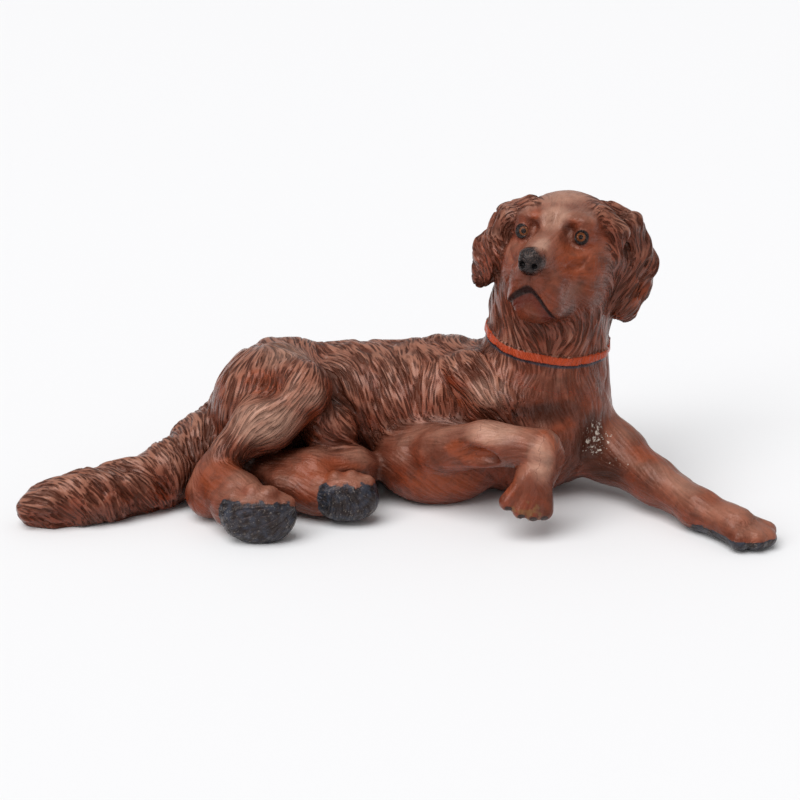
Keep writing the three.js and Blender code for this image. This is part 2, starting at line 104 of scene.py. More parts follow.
@dataclass(frozen=True)
class Form:
    """One rounded form of the body, joined to or carved from those before it with a soft edge.

    A form with `end` tapers from `radius` at `centre` to `end_radius` at `end`. Otherwise it is an egg of
    three `radii` along the rows of `axes`, squarer as `power` grows past 2. `comb` is the lie of the hair;
    without it the hair circles the form's axis at `slant` degrees to it.
    """

    centre: tuple
    blend: float
    coat: Coat
    radii: tuple = ()
    axes: Optional[tuple] = None
    power: float = 2.0
    end: Optional[tuple] = None
    radius: float = 0.0
    end_radius: float = 0.0
    side: Optional[tuple] = None
    flat: float = 1.0
    cut: bool = False
    comb: Optional[tuple] = None
    slant: float = 0.0

    @property
    def middle(self) -> Array:
        """The middle of the ball that encloses the form."""
        c = np.array(self.centre, float)
        return c if self.end is None else (c + np.array(self.end)) / 2

    @property
    def reach(self) -> float:
        """The radius of the ball that encloses the form."""
        if self.end is None:
            return max(self.radii) * 3 ** (0.5 - 1 / self.power)
        return float(np.linalg.norm(np.subtract(self.end, self.centre))) / 2 + max(self.radius, self.end_radius)

    @property
    def axis(self) -> Array:
        """The line that the hair circles or follows."""
        if self.end is not None:
            return unit(np.subtract(self.end, self.centre))
        return np.array([1.0, 0.0, 0.0])

    def distance(self, p: Array) -> Array:
        """Distance from points to the form, negative inside.

        Args:
            p: points, one a row.

        Returns:
            For an egg, k(k - 1)/|grad k| with k the power mean of p over the radii. For a limb, the distance to
            the cone that is tangent to both end balls, or to the nearer ball past its ends.
        """
        q = p - np.array(self.centre)
        if self.end is None:
            if self.axes is not None:
                q = q @ np.array(self.axes).T
            a = np.abs(q) / np.array(self.radii) + 1e-9
            k = (a**self.power).sum(1) ** (1 / self.power)
            slope = np.linalg.norm(a ** (self.power - 1) / np.array(self.radii), axis=1)
            return k ** (self.power - 1) * (k - 1) / np.maximum(slope, 1e-12)
        if self.side is not None:
            across = unit(self.side)
            q = q + np.outer(q @ across * (1 / self.flat - 1), across)
        run = np.subtract(self.end, self.centre)
        length = float(np.linalg.norm(run))
        along = q @ (run / length)
        off = np.sqrt(np.maximum((q * q).sum(1) - along * along, 0))
        sine = (self.radius - self.end_radius) / length
        cosine = math.sqrt(1 - sine * sine)
        foot = along * cosine - off * sine
        on_cone = off * cosine + along * sine - self.radius
        at_start = np.hypot(off, along) - self.radius
        at_end = np.hypot(off, along - length) - self.end_radius
        return np.where(foot < 0, at_start, np.where(foot > length * cosine, at_end, on_cone))

    def lie(self, p: Array) -> Array:
        """Direction of the hair at points: along `comb`, or turned from the axis by `slant` round the form.

        Args:
            p: points, one a row.

        Returns:
            One unit vector a row.
        """
        if self.comb is not None:
            return np.broadcast_to(unit(self.comb), p.shape)
        q = p - np.array(self.centre)
        axis = self.axis
        out = q - np.outer(q @ axis, axis)
        out /= lengths(out)
        turn = math.radians(self.slant)
        return math.cos(turn) * axis + math.sin(turn) * np.cross(axis, out)


def egg(centre: Vector, radii: Vector, blend: float, coat: Coat, **more) -> Form:
    """An egg-shaped form."""
    return Form(tuple(centre), blend, coat, radii=tuple(radii), **more)


def taper(a: Vector, b: Vector, ra: float, rb: float, blend: float, coat: Coat, **more) -> Form:
    """A form that tapers from `a` to `b`."""
    return Form(tuple(a), blend, coat, end=tuple(b), radius=ra, end_radius=rb, **more)


def limb(points: Sequence[Vector], blend: float, coat: Coat, **more) -> list[Form]:
    """Tapers through points of [x, y, z, radius].

    Args:
        points: places along the limb, each with its radius.
        blend: softness of the joins.
        coat: how the hair is carved.
        more: further fields of each form.

    Returns:
        One form for each stretch.
    """
    return [taper(a[:3], b[:3], a[3], b[3], blend, coat, **more) for a, b in zip(points, points[1:])]


def toes(
    tips: Sequence[Vector], root: Vector, radius: float, run: float = 0.45, blend: float = 0.35
) -> list[Form]:
    """Toes that start `run` of the way back from each tip to a common root."""
    roots = [(1 - run) * np.array(tip) + run * np.array(root) for tip in tips]
    return [taper(r, tip, radius, radius, blend, Coat.PAW) for r, tip in zip(roots, tips)]


@dataclass
class Torso:
    """Pelvis, loin, rib cage, chest and the thick neck."""

    pelvis: tuple = (-17.6, 3.4, 10.8)
    pelvis_radii: tuple = (9.2, 8.4, 9.9)
    back: tuple = ((-16, 4, 11, 8.4), (-6, 4.6, 10, 9.2), (6, 3.2, 10.2, 10.4))
    ribs: tuple = (7, 2.8, 10)
    ribs_radii: tuple = (13, 9.8, 10.5)
    chest: tuple = (18, -0.6, 10.4)
    chest_radii: tuple = (12, 10.4, 11.4)
    flank: tuple = (-9.7, -6.8, 9.9)
    flank_radii: tuple = (4.0, 3.2, 4.2)
    folds: tuple = (((7.5, -6.5, 18.4), (12.6, -10, 15.2)), ((9.6, -6.4, 19.6), (15.6, -10.4, 15.4)))
    fold_width: float = 1.0
    fold_height: float = 1.0

    def relief(self, p: Array) -> Array:
        """Two soft folds of loose skin on the shoulder: each falls off as exp(-(distance over width)²).

        Args:
            p: points, one a row.

        Returns:
            How far the surface rises there, in shares.
        """
        rise = np.zeros(len(p))
        for a, b in self.folds:
            run = np.subtract(b, a)
            along = np.clip((p - np.array(a)) @ run / (run @ run), 0, 1)
            off = np.linalg.norm(p - np.array(a) - along[:, None] * run, axis=1)
            rise += self.fold_height * np.exp(-((off / self.fold_width) ** 2))
        return rise

    def forms(self) -> list[Form]:
        """The torso's forms.

        Returns:
            Pelvis, back, ribs, chest, flank, breast, neck, shoulder blade, and the dip over the elbow.
        """
        return [
            egg(self.pelvis, self.pelvis_radii, 1, Coat.BODY, slant=80),
            *limb(self.back, 3, Coat.BODY, slant=62),
            egg(self.ribs, self.ribs_radii, 3, Coat.BODY, slant=118),
            egg(self.chest, self.chest_radii, 3, Coat.CHEST, comb=(0.1, 0, -1)),
            egg(self.flank, self.flank_radii, 1.2, Coat.BODY, comb=(0.5, 0.1, -1)),
            *limb(((20.2, -0.6, 13.5, 9.8), (21.2, -0.8, 21, 8.5)), 2.5, Coat.CHEST, slant=180),
            *limb(((20.5, -0.6, 21, 8.3), (21.3, -0.4, 26.6, 8.5), (22.6, -0.6, 31, 7.9)), 1, Coat.NECK, slant=160),
            *limb(((9.4, -4.2, 18.6, 2.6), (15, -7.6, 13, 3.4)), 3, Coat.BODY),
            egg((20.6, -11.9, 13.8), (4.4, 1.7, 1.6), 1.8, Coat.CHEST, cut=True),
        ]


@dataclass
class HindLegs:
    """Both hind legs: the near thigh and its foot with the sole turned up, and the far foot under the belly."""

    thigh: tuple = (-20, -1.6, 11.4)
    thigh_radii: tuple = (7.2, 7.4, 8.8)
    near_sole: tuple = (-18.6, -21.4, 3.5)
    near_sole_radii: tuple = (4.9, 2.8, 3.8)
    far_sole: tuple = (-7, -15.4, 3.8)
    far_sole_radii: tuple = (4.1, 2.7, 3.2)

    def forms(self) -> list[Form]:
        """Both legs.

        Returns:
            The near leg from thigh to toes, with the hollow of the thigh carved in, then the far one.
        """
        near_tips = ((-21.7, -21, 5.9), (-19.4, -21.4, 6.7), (-17, -21.6, 6.4), (-15, -21.8, 5.2))
        far_tips = ((-8.8, -15.2, 6.3), (-6.6, -15.4, 6.4), (-4.4, -15.6, 5.8))
        lower_leg = ((-13.6, -8, 16.6, 3.5), (-18.2, -9.8, 13, 3.9), (-23.4, -12, 9.2, 2.4))
        heel = ((-25.2, -12.8, 6.8, 2.7), (-26, -13.6, 3.6, 3.5))
        foot = ((-24.8, -13.6, 5.6, 3.2), (-21.8, -18.2, 4.4, 3.7), (-19, -20.6, 3.6, 3.4))
        return [
            egg(self.thigh, self.thigh_radii, 2.5, Coat.THIGH, comb=(-0.35, -0.2, -1)),
            *limb(((-17.6, -2.5, 15.4, 5.8), (-13.6, -7.4, 16.8, 3.8)), 2, Coat.THIGH, comb=(0.25, -0.4, -1)),
            *limb(lower_leg, 2.2, Coat.THIGH),
            egg((-20.4, -10.2, 17.6), (4, 1.8, 1.5), 2.6, Coat.THIGH, cut=True),
            *limb(heel, 1.6, Coat.LEG),
            *limb(foot, 0.8, Coat.LEG),
            egg(self.near_sole, self.near_sole_radii, 0.5, Coat.PAW, comb=(0.6, 0, 1), power=2.2),
            *toes(near_tips, (-20, -18, 4.6), 1.3),
            *limb(((-19, -8, 4.6, 3.4), (-12, -11, 5.6, 3.3), (-6.5, -9, 5.4, 3.4)), 0.8, Coat.LEG),
            *limb(((-16, -12, 4.2, 2.9), (-11, -13.6, 3.8, 3.4)), 0.8, Coat.LEG),
            egg(self.far_sole, self.far_sole_radii, 0.5, Coat.PAW, comb=(0.6, 0, 1), power=2.6),
            *toes(far_tips, (-8, -13.6, 4), 1.1),
        ]


@dataclass
class Tail:
    """The thick feathered tail, laid along the ground."""

    root: tuple = ((-23, 2, 8.4, 5.8), (-28, -1.4, 6.2, 4.7), (-32.9, -8, 4.2, 4.2))
    brush: tuple = ((-32.9, -8, 4.2, 4.2), (-36, -10.5, 3.6, 3.8), (-39.8, -13.1, 3.4, 3.7), (-43.6, -14.6, 3.2, 3.5))
    tip: tuple = ((-43.6, -14.6, 3.2, 3.5), (-47.2, -15.5, 2.8, 3.2), (-50.1, -15.9, 2.2, 2.4))

    def forms(self) -> list[Form]:
        """The tail from root to tip.

        Returns:
            Tapers whose hair slants more and more outwards, and runs along the tail at its tip.
        """
        return [
            *limb(self.root, 1.5, Coat.TAIL, slant=-68),
            *limb(self.brush, 1.5, Coat.TAIL, slant=-112),
            *limb(self.tip, 1.5, Coat.TAIL, slant=-145),
        ]


@dataclass
class Forelegs:
    """The near foreleg folded with its paw hanging, and the far one stretched out along the ground."""

    elbow: tuple = (5.4, -6.4, 5.6)
    forearm: tuple = ((5.2, -10.6, 8.6, 3.3), (11.6, -14.8, 11.2, 3), (18.7, -18.4, 11.8, 2.7))
    wrist: tuple = (19, -18.8, 11)
    hollow: tuple = (8.9, -17.5, 10.2)
    stretched: tuple = (
        (25, -1, 8.4, 6.2),
        (30.8, -4.8, 6, 4.2),
        (35.4, -10.8, 4.3, 3),
        (40.4, -17.4, 2.8, 2.6),
        (44.4, -22, 2.2, 2.6),
    )
    near_tips: tuple = ((14.2, -21, 5.3), (15.9, -21.5, 4.4), (17.5, -21.5, 4.1), (19, -21.1, 4))
    far_tips: tuple = ((44, -25, 1.7), (46.2, -24.8, 1.6), (47.8, -23.8, 1.6), (48.2, -22.2, 1.6))

    def forms(self) -> list[Form]:
        """Both legs.

        Returns:
            The near leg from the elbow to the toes, with the forearm's hollow carved in, then the far one.
        """
        return [
            egg(self.elbow, (9, 6.2, 6.2), 2, Coat.LEG, slant=30),
            *limb(self.forearm, 1.2, Coat.LEG),
            egg(self.hollow, (4.4, 1.8, 1.4), 1.2, Coat.LEG, cut=True),
            taper(self.wrist, (17.4, -19.8, 6.8), 2.8, 2.7, 0.6, Coat.LEG, side=(0, -1, 0.2), flat=0.75),
            *toes(self.near_tips, (18.6, -20, 10.8), 1.25, run=0.75),
            *limb(self.stretched, 1.5, Coat.LEG),
            *toes(self.far_tips, (42.6, -20, 2.8), 1.4, run=0.75, blend=0.7),
        ]


@dataclass(frozen=True)
class Swell:
    """A soft rise, or a dip where `height` is negative, round a place on the surface."""

    centre: tuple
    radii: tuple
    height: float

    def rise(self, p: Array) -> Array:
        """Height times exp(-k²), with k the distance from the middle over the radii."""
        k = ((p - np.array(self.centre)) / np.array(self.radii)) ** 2
        return self.height * np.exp(-k.sum(1))


@dataclass
class Head:
    """The raised head in its own frame: forward to the nose, left and up."""

    centre: tuple = (22.9, -1.2, 36.4)
    yaw: float = 24.0
    pitch: float = 4.0
    roll: float = 1.5
    eye: tuple = (5.6, 4.0, 1.4)
    eye_radius: float = 1.3
    eye_turn: float = 0.2
    eye_tilt: float = 0.05
    eye_opening: tuple = (0.72, 0.55)
    lid: float = 0.22
    pouch: tuple = (1.7, 2.6)
    pouch_line: tuple = (0.14, 0.12)
    look: tuple = (1.0, 0.12, 0.08)
    nose: tuple = (14.2, 0.0, -1.2)
    nose_radii: tuple = (1.6, 1.75, 1.8)
    lip_front: tuple = (13.4, -5.2)
    lip_fall: tuple = (0.3, 1.0, 0.35)
    lip_bow: float = 0.7
    lip_line: tuple = (0.35, 0.28)
    jaw_step: float = 0.42
    snout_line: tuple = (0.16, 0.16)
    swells: tuple = (
        Swell((6.2, -1.2, 3.8), (2.5, 0.9, 1.5), 0.25),
        Swell((6.2, 2.0, 3.9), (2.5, 1.0, 1.0), 0.3),
        Swell((6.5, 2.6, 2.4), (1.6, 0.8, 0.9), -0.45),
        Swell((6.6, -2.5, 2.4), (1.6, 0.8, 0.9), -0.4),
        Swell((7.0, 0.2, 3.6), (2.5, 0.6, 1.6), -0.25),
        Swell((7.6, 3.9, -0.9), (2.0, 1.3, 0.6), 0.3),
        Swell((8.3, 4.2, -2.2), (2.0, 1.2, 0.5), -0.25),
        Swell((11.6, 2.6, -2.4), (1.8, 1.0, 0.9), -0.35),
        Swell((11.6, -2.6, -2.2), (1.8, 1.0, 0.9), -0.35),
        Swell((12.2, 3.2, -4.6), (1.6, 0.9, 1.1), 0.3),
        Swell((10.6, 4.0, -6.2), (1.6, 0.5, 1.6), -0.3),
        Swell((13.6, 1.6, -4.6), (1.4, 0.4, 0.9), 0.2),
        Swell((13.1, 0.9, -7.2), (1.6, 0.5, 0.8), 0.18),
        Swell((13.1, -1.0, -7.4), (1.6, 0.5, 0.9), 0.15),
    )
    axes: Array = field(init=False)

    def __post_init__(self) -> None:
        """Turns the head: forward by yaw and pitch, then left and up by the roll.

        The rows of `axes` are then the directions forward, left and up, each of length one.
        """
        yaw, pitch, roll = (math.radians(a) for a in (self.yaw, self.pitch, self.roll))
        forward = unit((-math.sin(yaw), -math.cos(yaw), math.tan(pitch)))
        level = unit(np.cross((0, 0, 1), forward))
        left = unit(level * math.cos(roll) - np.cross(forward, level) * math.sin(roll))
        self.axes = np.array([forward, left, np.cross(forward, left)])

    def at(self, f: float, l: float, u: float) -> Array:
        """The place that lies `f` forward, `l` left and `u` up of the head's centre."""
        return np.array(self.centre) + np.array([f, l, u]) @ self.axes

    def local(self, p: Array) -> Array:
        """Points as forward, left and up on the head."""
        return (p - np.array(self.centre)) @ self.axes.T

    def forms(self) -> list[Form]:
        """The head's forms, in the order in which they are joined.

        Returns:
            Skull, cheeks, muzzle, bridge, hanging lips, jaw, brows, carved sockets, eyes, nose and nostrils.
        """
        at, face = self.at, Coat.FACE
        turned = {"axes": tuple(map(tuple, self.axes)), "comb": tuple(-self.axes[0])}

        def pair(place: Vector, radii: Vector, blend: float, coat: Coat = face, cut: bool = False) -> list[Form]:
            """An egg on each side of the head, the dog's right one first."""
            f, l, u = place
            return [egg(at(f, l * s, u), radii, blend, coat, cut=cut, **turned) for s in SIDES]

        return [
            egg(at(-0.6, 0, 0.2), (7.3, 7.4, 6.5), 1.6, face, **turned),
            *pair((3.2, 4.1, -4), (5.4, 3.4, 5.6), 2),
            taper(at(5, 0, -2.6), at(11, 0, -3.4), 4.6, 3.5, 1.6, face, slant=180),
            taper(at(5.4, 0, -0.2), at(12.9, 0, -1.4), 3, 2.1, 1, face, slant=180),
            *pair((9.4, 2.1, -5.2), (4, 1.8, 3.6), 1.2),
            *(taper(at(3, 1.5 * s, -6.6), at(10.3, 1 * s, -7), 3.7, 3, 1, face, slant=180) for s in SIDES),
            *pair((5, 3.3, 3.1), (1.6, 2.2, 1.1), 2.4),
            *pair((7.7, 4.2, 1.3), (1.5, 1.7, 1.3), 1.5, cut=True),
            *pair(self.eye, (self.eye_radius,) * 3, 0.3, Coat.PAW),
            egg(at(*self.nose), self.nose_radii, 0.3, Coat.PAW, power=2.8, **turned),
            *pair((15.7, 0.85, -1.7), (0.7, 0.4, 0.4), 0.25, Coat.PAW, cut=True),
        ]

    def eye_place(self, side: int) -> Array:
        """The middle of one eye on the head's axes: `side` is 1 for the dog's left eye, -1 for its right."""
        f, l, u = self.eye
        return np.array((f, l * side, u))

    def eye_ahead(self, side: int) -> Array:
        """The direction in which one eye's opening faces, on the head's axes."""
        return unit((1, self.eye_turn * side, self.eye_tilt))

    def eye_front(self, side: int) -> Array:
        """The middle of one eye's opening, on the ball of the eye."""
        return self.at(*(self.eye_place(side) + self.eye_radius * self.eye_ahead(side)))

    def gaze(self, side: int) -> Array:
        """The middle of one iris."""
        return self.at(*(self.eye_place(side) + self.eye_radius * unit(self.look)))

    def opening(self, p: Array, side: int) -> tuple[Array, Array]:
        """How far points lie across one eye's opening.

        Args:
            p: points on the head's own axes.
            side: 1 for the dog's left eye, -1 for its right.

        Returns:
            The length of (sideways over half width, upward over half height) of the direction from the eye's
            middle, which is 1 at the rim of the lids, and the distance from the eye's middle.
        """
        q = p - self.eye_place(side)
        size = lengths(q)[:, 0]
        ahead = self.eye_ahead(side)
        across = unit(np.cross((0, 0, 1), ahead))
        wide, high = self.eye_opening
        out = np.hypot(q @ across / size / wide, q @ np.cross(ahead, across) / size / high)
        return np.where(q @ ahead > 0, out, 3.0), size

    def above_lip(self, p: Array) -> Array:
        """Height of points on the head's axes above the line between the lips.

        The line falls backwards, to both sides from a rounded bow, and a little more to the dog's left.

        Args:
            p: points on the head's axes, one a row.

        Returns:
            The height in shares, negative below the line.
        """
        f, u = self.lip_front
        back, sides, lean = self.lip_fall
        aside = np.hypot(p[:, 1], self.lip_bow) - self.lip_bow
        return p[:, 2] - u + back * (f - p[:, 0]) + sides * aside + lean * p[:, 1]

    def eye_relief(self, q: Array, side: int) -> Array:
        """Raised lids round one eye, and the curved line under its pouch.

        The lid rises where the opening ends, and runs out away from the eye. The line lies where the pouch's
        ellipse round the eye has a radius of 1, as exp(-(distance from it over its width)²).

        Args:
            q: points on the head's axes, one a row.
            side: 1 for the dog's left eye, -1 for its right.

        Returns:
            How far the surface rises there, in shares.
        """
        out, size = self.opening(q, side)
        lid = self.lid * smoothstep(out, 0.85, 1.1) * (1 - smoothstep(size, 1.5, 2.1))
        _, l, u = self.eye_place(side)
        wide, high = self.pouch
        deep, width = self.pouch_line
        ring = np.hypot((q[:, 1] - l) / wide, (q[:, 2] - u + 1.2) / high)
        below = smoothstep(u - q[:, 2], 1.4, 2.8) * smoothstep(q[:, 0], 4.6, 5.8) * (np.sign(q[:, 1]) == side)
        return lid - deep * below * np.exp(-(((ring - 1) / width) ** 2))

    def mouth_relief(self, q: Array) -> Array:
        """The groove between the lips, the jaw set back under it, and the fine line below the nose.

        Args:
            q: points on the head's axes, one a row.

        Returns:
            How far the surface rises there, in shares.
        """
        above = self.above_lip(q)
        near = smoothstep(q[:, 0], 8.4, 9.8) * (np.abs(q[:, 1]) < 6)
        deep, width = self.lip_line
        rise = -near * deep * np.exp(-((above / width) ** 2))
        rise -= near * self.jaw_step * smoothstep(-above, 0, 0.4) * (1 - smoothstep(-above, 1.0, 3.6))
        deep, width = self.snout_line
        split = (q[:, 0] > 12) * smoothstep(above, 0.1, 0.5) * (1 - smoothstep(q[:, 2], -3.4, -2.6))
        return rise - deep * split * np.exp(-((q[:, 1] / width) ** 2))

    def relief(self, p: Array) -> Array:
        """Height of the fine modelling on the face: swells, lids, pouches and lips.

        Args:
            p: points, one a row.

        Returns:
            How far the surface rises there, in shares.
        """
        q = self.local(p)
        rise = sum(swell.rise(q) for swell in self.swells)
        return rise + sum(self.eye_relief(q, side) for side in SIDES) + self.mouth_relief(q)


@dataclass
class Ears:
    """The hanging ears, thin across and full towards their lower edge."""

    left: tuple = ((28.2, -1, 39.8, 2.2), (31.9, -1.2, 37.2, 2.9), (33, -1.8, 32.4, 3.5), (31.3, -2.6, 28.4, 3.2))
    left_side: tuple = (0.55, -0.83, 0)
    fringe: tuple = ((27.6, -3.6, 40.6, 1.1), (29.5, -4.4, 37.8, 1.3), (29.3, -4.6, 34.4, 1.3), (28.5, -4.4, 31.2, 1))
    right: tuple = ((18, -1, 40.3, 2.4), (14.7, -0.2, 38.7, 2.7), (12.6, -0.4, 34.4, 3.1), (11, -0.9, 31.2, 1.9))
    right_side: tuple = (-0.85, -0.5, 0)

    def forms(self) -> list[Form]:
        """Both ears.

        Returns:
            The dog's left ear with the locks along its front edge, then its right one.
        """
        return [
            *limb(self.left, 0.9, Coat.EAR, side=self.left_side, flat=0.5, slant=20),
            *limb(self.fringe, 1.2, Coat.EAR, slant=15),
            *limb(self.right, 0.9, Coat.EAR, side=self.right_side, flat=0.55, slant=-25),
        ]


@dataclass
class Collar:
    """The low band cast round the neck, in a tilted plane."""

    point: tuple = (21.2, -0.7, 22.5)
    normal: tuple = (0.1, -0.136, 0.985)
    reach: float = 11.0
    width: float = 1.15
    relief: float = 0.26

    def height(self, p: Array) -> Array:
        """Height of points above the band's middle, along its tilted axis."""
        return (p - np.array(self.point)) @ unit(self.normal)

    def lift(self, p: Array) -> Array:
        """How far the band raises the surface: flat across, with eased edges."""
        near = np.linalg.norm(p - np.array(self.point), axis=1) < self.reach
        h = np.abs(self.height(p)) / (self.width / 2)
        return np.where(near, self.relief * smoothstep(1.25 - h, 0, 0.5), 0)


@dataclass
class Figure:
    """The whole cast figure as one distance field."""

    torso: Torso = field(default_factory=Torso)
    hind_legs: HindLegs = field(default_factory=HindLegs)
    tail: Tail = field(default_factory=Tail)
    forelegs: Forelegs = field(default_factory=Forelegs)
    head: Head = field(default_factory=Head)
    ears: Ears = field(default_factory=Ears)
    collar: Collar = field(default_factory=Collar)
    low: tuple = (-54, -29, -2)
    high: tuple = (52, 17, 47)
    nearby: float = 2.0
    forms: list = field(init=False)

    def __post_init__(self) -> None:
        """Puts the forms of every part in the order in which they are joined and carved."""
        parts = (self.torso, self.hind_legs, self.tail, self.forelegs, self.head, self.ears)
        self.forms = [form for part in parts for form in part.forms()]

    def distance(self, p: Array) -> Array:
        """Signed distance to the figure: joined forms melt together over their blend, carved ones are cut out.

        Args:
            p: points, one a row.

        Returns:
            Distances in shares, exact near the surface and only of the right sign far from it.
        """
        d = np.full(len(p), 1e3)
        for form in self.forms:
            away = np.linalg.norm(p - form.middle, axis=1)
            near = np.nonzero(away < form.reach + form.blend + self.nearby)[0]
            if not len(near):
                continue
            sign = -1 if form.cut else 1
            e = sign * form.distance(p[near])
            old = d[near]
            overlap = np.maximum(form.blend - np.abs(old - e), 0) / form.blend
            d[near] = sign * np.minimum(sign * old, sign * e) - sign * overlap**2 * form.blend / 4
        close = np.nonzero(np.abs(d) < self.nearby)[0]
        q = p[close]
        d[close] -= self.head.relief(q) + self.torso.relief(q) + self.collar.lift(q)
        return np.maximum(d, -p[:, 2])

    def slope(self, p: Array, step: float = 0.05) -> Array:
        """Gradient of the distance by differences over the corners of a small tetrahedron."""
        corners = np.array([(1, -1, -1), (-1, -1, 1), (-1, 1, -1), (1, 1, 1)])
        return sum(self.distance(p + step * c)[:, None] * c for c in corners) / (4 * step)


def graded_axis(low: float, high: float, step: float, fine: float, fine_low: float, fine_high: float) -> Array:
    """Grid lines along one axis, closer together over one stretch.

    Args:
        low, high: the ends of the axis.
        step: the usual spacing.
        fine: the spacing between `fine_low` and `fine_high`.
        fine_low, fine_high: the stretch that needs it.

    Returns:
        Rising coordinates, as many as fill whole blocks.
    """
    before = np.arange(low, fine_low, step)
    within = np.arange(before[-1] + fine, fine_high, fine)
    after = np.arange(within[-1] + step, high + step, step)
    lines = np.concatenate([before, within, after])
    spare = -len(lines) % BLOCK
    return np.concatenate([lines, lines[-1] + step * np.arange(1, spare + 1)])


def sample_field(distance: Callable[[Array], Array], axes: Sequence[Array], margin: float = 1.6) -> Array:
    """Distances on a grid: whole blocks far from the surface take the value at their middle.

    Args:
        distance: the signed distance of points.
        axes: grid lines along x, y and z.
        margin: how many half diagonals of a block count as near the surface.

    Returns:
        A grid of distances, exact in every block that the surface may cross.
    """
    counts = [len(a) // BLOCK for a in axes]
    blocked = [a.reshape(-1, BLOCK) for a in axes]
    middles = [b.mean(1) for b in blocked]
    halves = [(b[:, -1] - b[:, 0]) / 2 + (b[:, 1] - b[:, 0]) for b in blocked]
    grid = np.stack(np.meshgrid(*middles, indexing="ij"), -1).reshape(-1, 3)
    half = np.stack(np.meshgrid(*halves, indexing="ij"), -1).reshape(-1, 3)
    d = distance(grid)
    values = np.empty((*counts, BLOCK, BLOCK, BLOCK), np.float32)
    values[:] = d.reshape(counts)[..., None, None, None]
    busy = np.nonzero(np.abs(d) < margin * np.linalg.norm(half, axis=1))[0]
    i, j, k = np.unravel_index(busy, counts)
    for part in np.array_split(np.arange(len(busy)), max(1, len(busy) // CHUNK)):
        a, b, c = i[part], j[part], k[part]
        x = blocked[0][a][:, :, None, None]
        y = blocked[1][b][:, None, :, None]
        z = blocked[2][c][:, None, None, :]
        p = np.stack(np.broadcast_arrays(x, y, z), -1).reshape(-1, 3)
        values[a, b, c] = distance(p).reshape(-1, BLOCK, BLOCK, BLOCK)
    return values.transpose(0, 3, 1, 4, 2, 5).reshape([len(a) for a in axes])


def fill_pinches(inside: Array) -> Array:
    """Fills one corner of each grid square whose corners alternate, where the surface would touch itself.

    Args:
        inside: which grid points lie inside.

    Returns:
        The same grid with those corners filled.
    """
    changed = True
    while changed:
        changed = False
        for u, v in ((0, 1), (1, 2), (0, 2)):
            def corner(du: int, dv: int) -> tuple:
                """The slices of one corner of every square."""
                cut = [slice(None)] * 3
                cut[u] = slice(du, inside.shape[u] - 1 + du)
                cut[v] = slice(dv, inside.shape[v] - 1 + dv)
                return tuple(cut)

            a, b, c, d = (inside[corner(*s)] for s in ((0, 0), (1, 0), (0, 1), (1, 1)))
            crossed = (a == d) & (b == c) & (a != b)
            if crossed.any():
                changed = True
                first, second = inside[corner(0, 0)], inside[corner(1, 0)]
                first |= crossed
                second |= crossed
    return inside


def crossing_points(values: Array, cells: Array, axes: Sequence[Array]) -> Array:
    """One vertex in each cell: the mean of the points where the cell's edges cross zero.

    Args:
        values: distances on the grid.
        cells: the lowest grid point of each crossed cell, one a row.
        axes: grid lines along x, y and z.

    Returns:
        Vertices, one a row.
    """
    total = np.zeros((len(cells), 3))
    crossings = np.zeros(len(cells))
    for a in itertools.product((0, 1), repeat=3):
        for axis in range(3):
            if a[axis]:
                continue
            b = list(a)
            b[axis] = 1
            va = values[tuple((cells + a).T)].astype(float)
            vb = values[tuple((cells + b).T)].astype(float)
            hit = (va < 0) != (vb < 0)
            t = va[hit] / (va[hit] - vb[hit])
            total[hit] += np.array(a) + t[:, None] * (np.array(b) - a)
            crossings[hit] += 1
    part = total / crossings[:, None]
    points = np.empty_like(part)
    for m, lines in enumerate(axes):
        low = lines[cells[:, m]]
        points[:, m] = low + part[:, m] * (lines[cells[:, m] + 1] - low)
    return points


def crossing_squares(inside: Array, number: Array) -> Array:
    """A square of the four cells round each grid edge that crosses the surface, turned so that it faces out.

    Args:
        inside: which grid points lie inside.
        number: the vertex number of each crossed cell.

    Returns:
        Four vertex numbers a row.
    """
    squares = []
    for axis in range(3):
        step, u, v = (np.eye(3, dtype=int)[(axis + turn) % 3] for turn in range(3))
        near = inside[tuple(slice(0, n - s) for n, s in zip(inside.shape, step))]
        far = inside[tuple(slice(s, n) for n, s in zip(inside.shape, step))]
        base = np.stack(np.nonzero(near != far), 1)
        base = base[(base > 0).all(1)]
        ring = np.stack([number[tuple((base - o).T)] for o in (0 * u, u, u + v, v)], 1)
        outward = inside[tuple(base.T)]
        squares.append(np.where(outward[:, None], ring, ring[:, ::-1]))
    return np.concatenate(squares)


def trace_surface(values: Array, axes: Sequence[Array]) -> tuple[Array, Array]:
    """Traces the zero level with one vertex in each grid cell that it crosses (surface nets).

    Args:
        values: distances on the grid.
        axes: grid lines along x, y and z.

    Returns:
        Vertices, one a row, and squares of four vertex numbers.
    """
    inside = fill_pinches(values < 0)
    values = np.where(inside & (values >= 0), np.float32(-1e-3), values)
    nx, ny, nz = (n - 1 for n in inside.shape)
    count = sum(
        inside[x : nx + x, y : ny + y, z : nz + z].astype(np.uint8)
        for x, y, z in itertools.product((0, 1), repeat=3)
    )
    cells = np.stack(np.nonzero((count > 0) & (count < 8)), 1)
    number = np.full(inside.shape, -1, np.int32)
    number[tuple(cells.T)] = np.arange(len(cells))
    return crossing_points(values, cells, axes), crossing_squares(inside, number)


def corner_weights(t: Array) -> Iterator[tuple[tuple, Array]]:
    """The corners of a cell, each with the weight that it has at a place inside.

    A corner's weight is the product of t, or of 1 - t on the low side, over the three directions.

    Args:
        t: how far across its cell each place lies, one row of three a place.

    Yields:
        Each corner as three of 0 and 1, and its weight at every place.
    """
    sides = (1 - t, t)
    for corner in itertools.product((0, 1), repeat=3):
        x, y, z = corner
        yield corner, sides[x][:, 0] * sides[y][:, 1] * sides[z][:, 2]


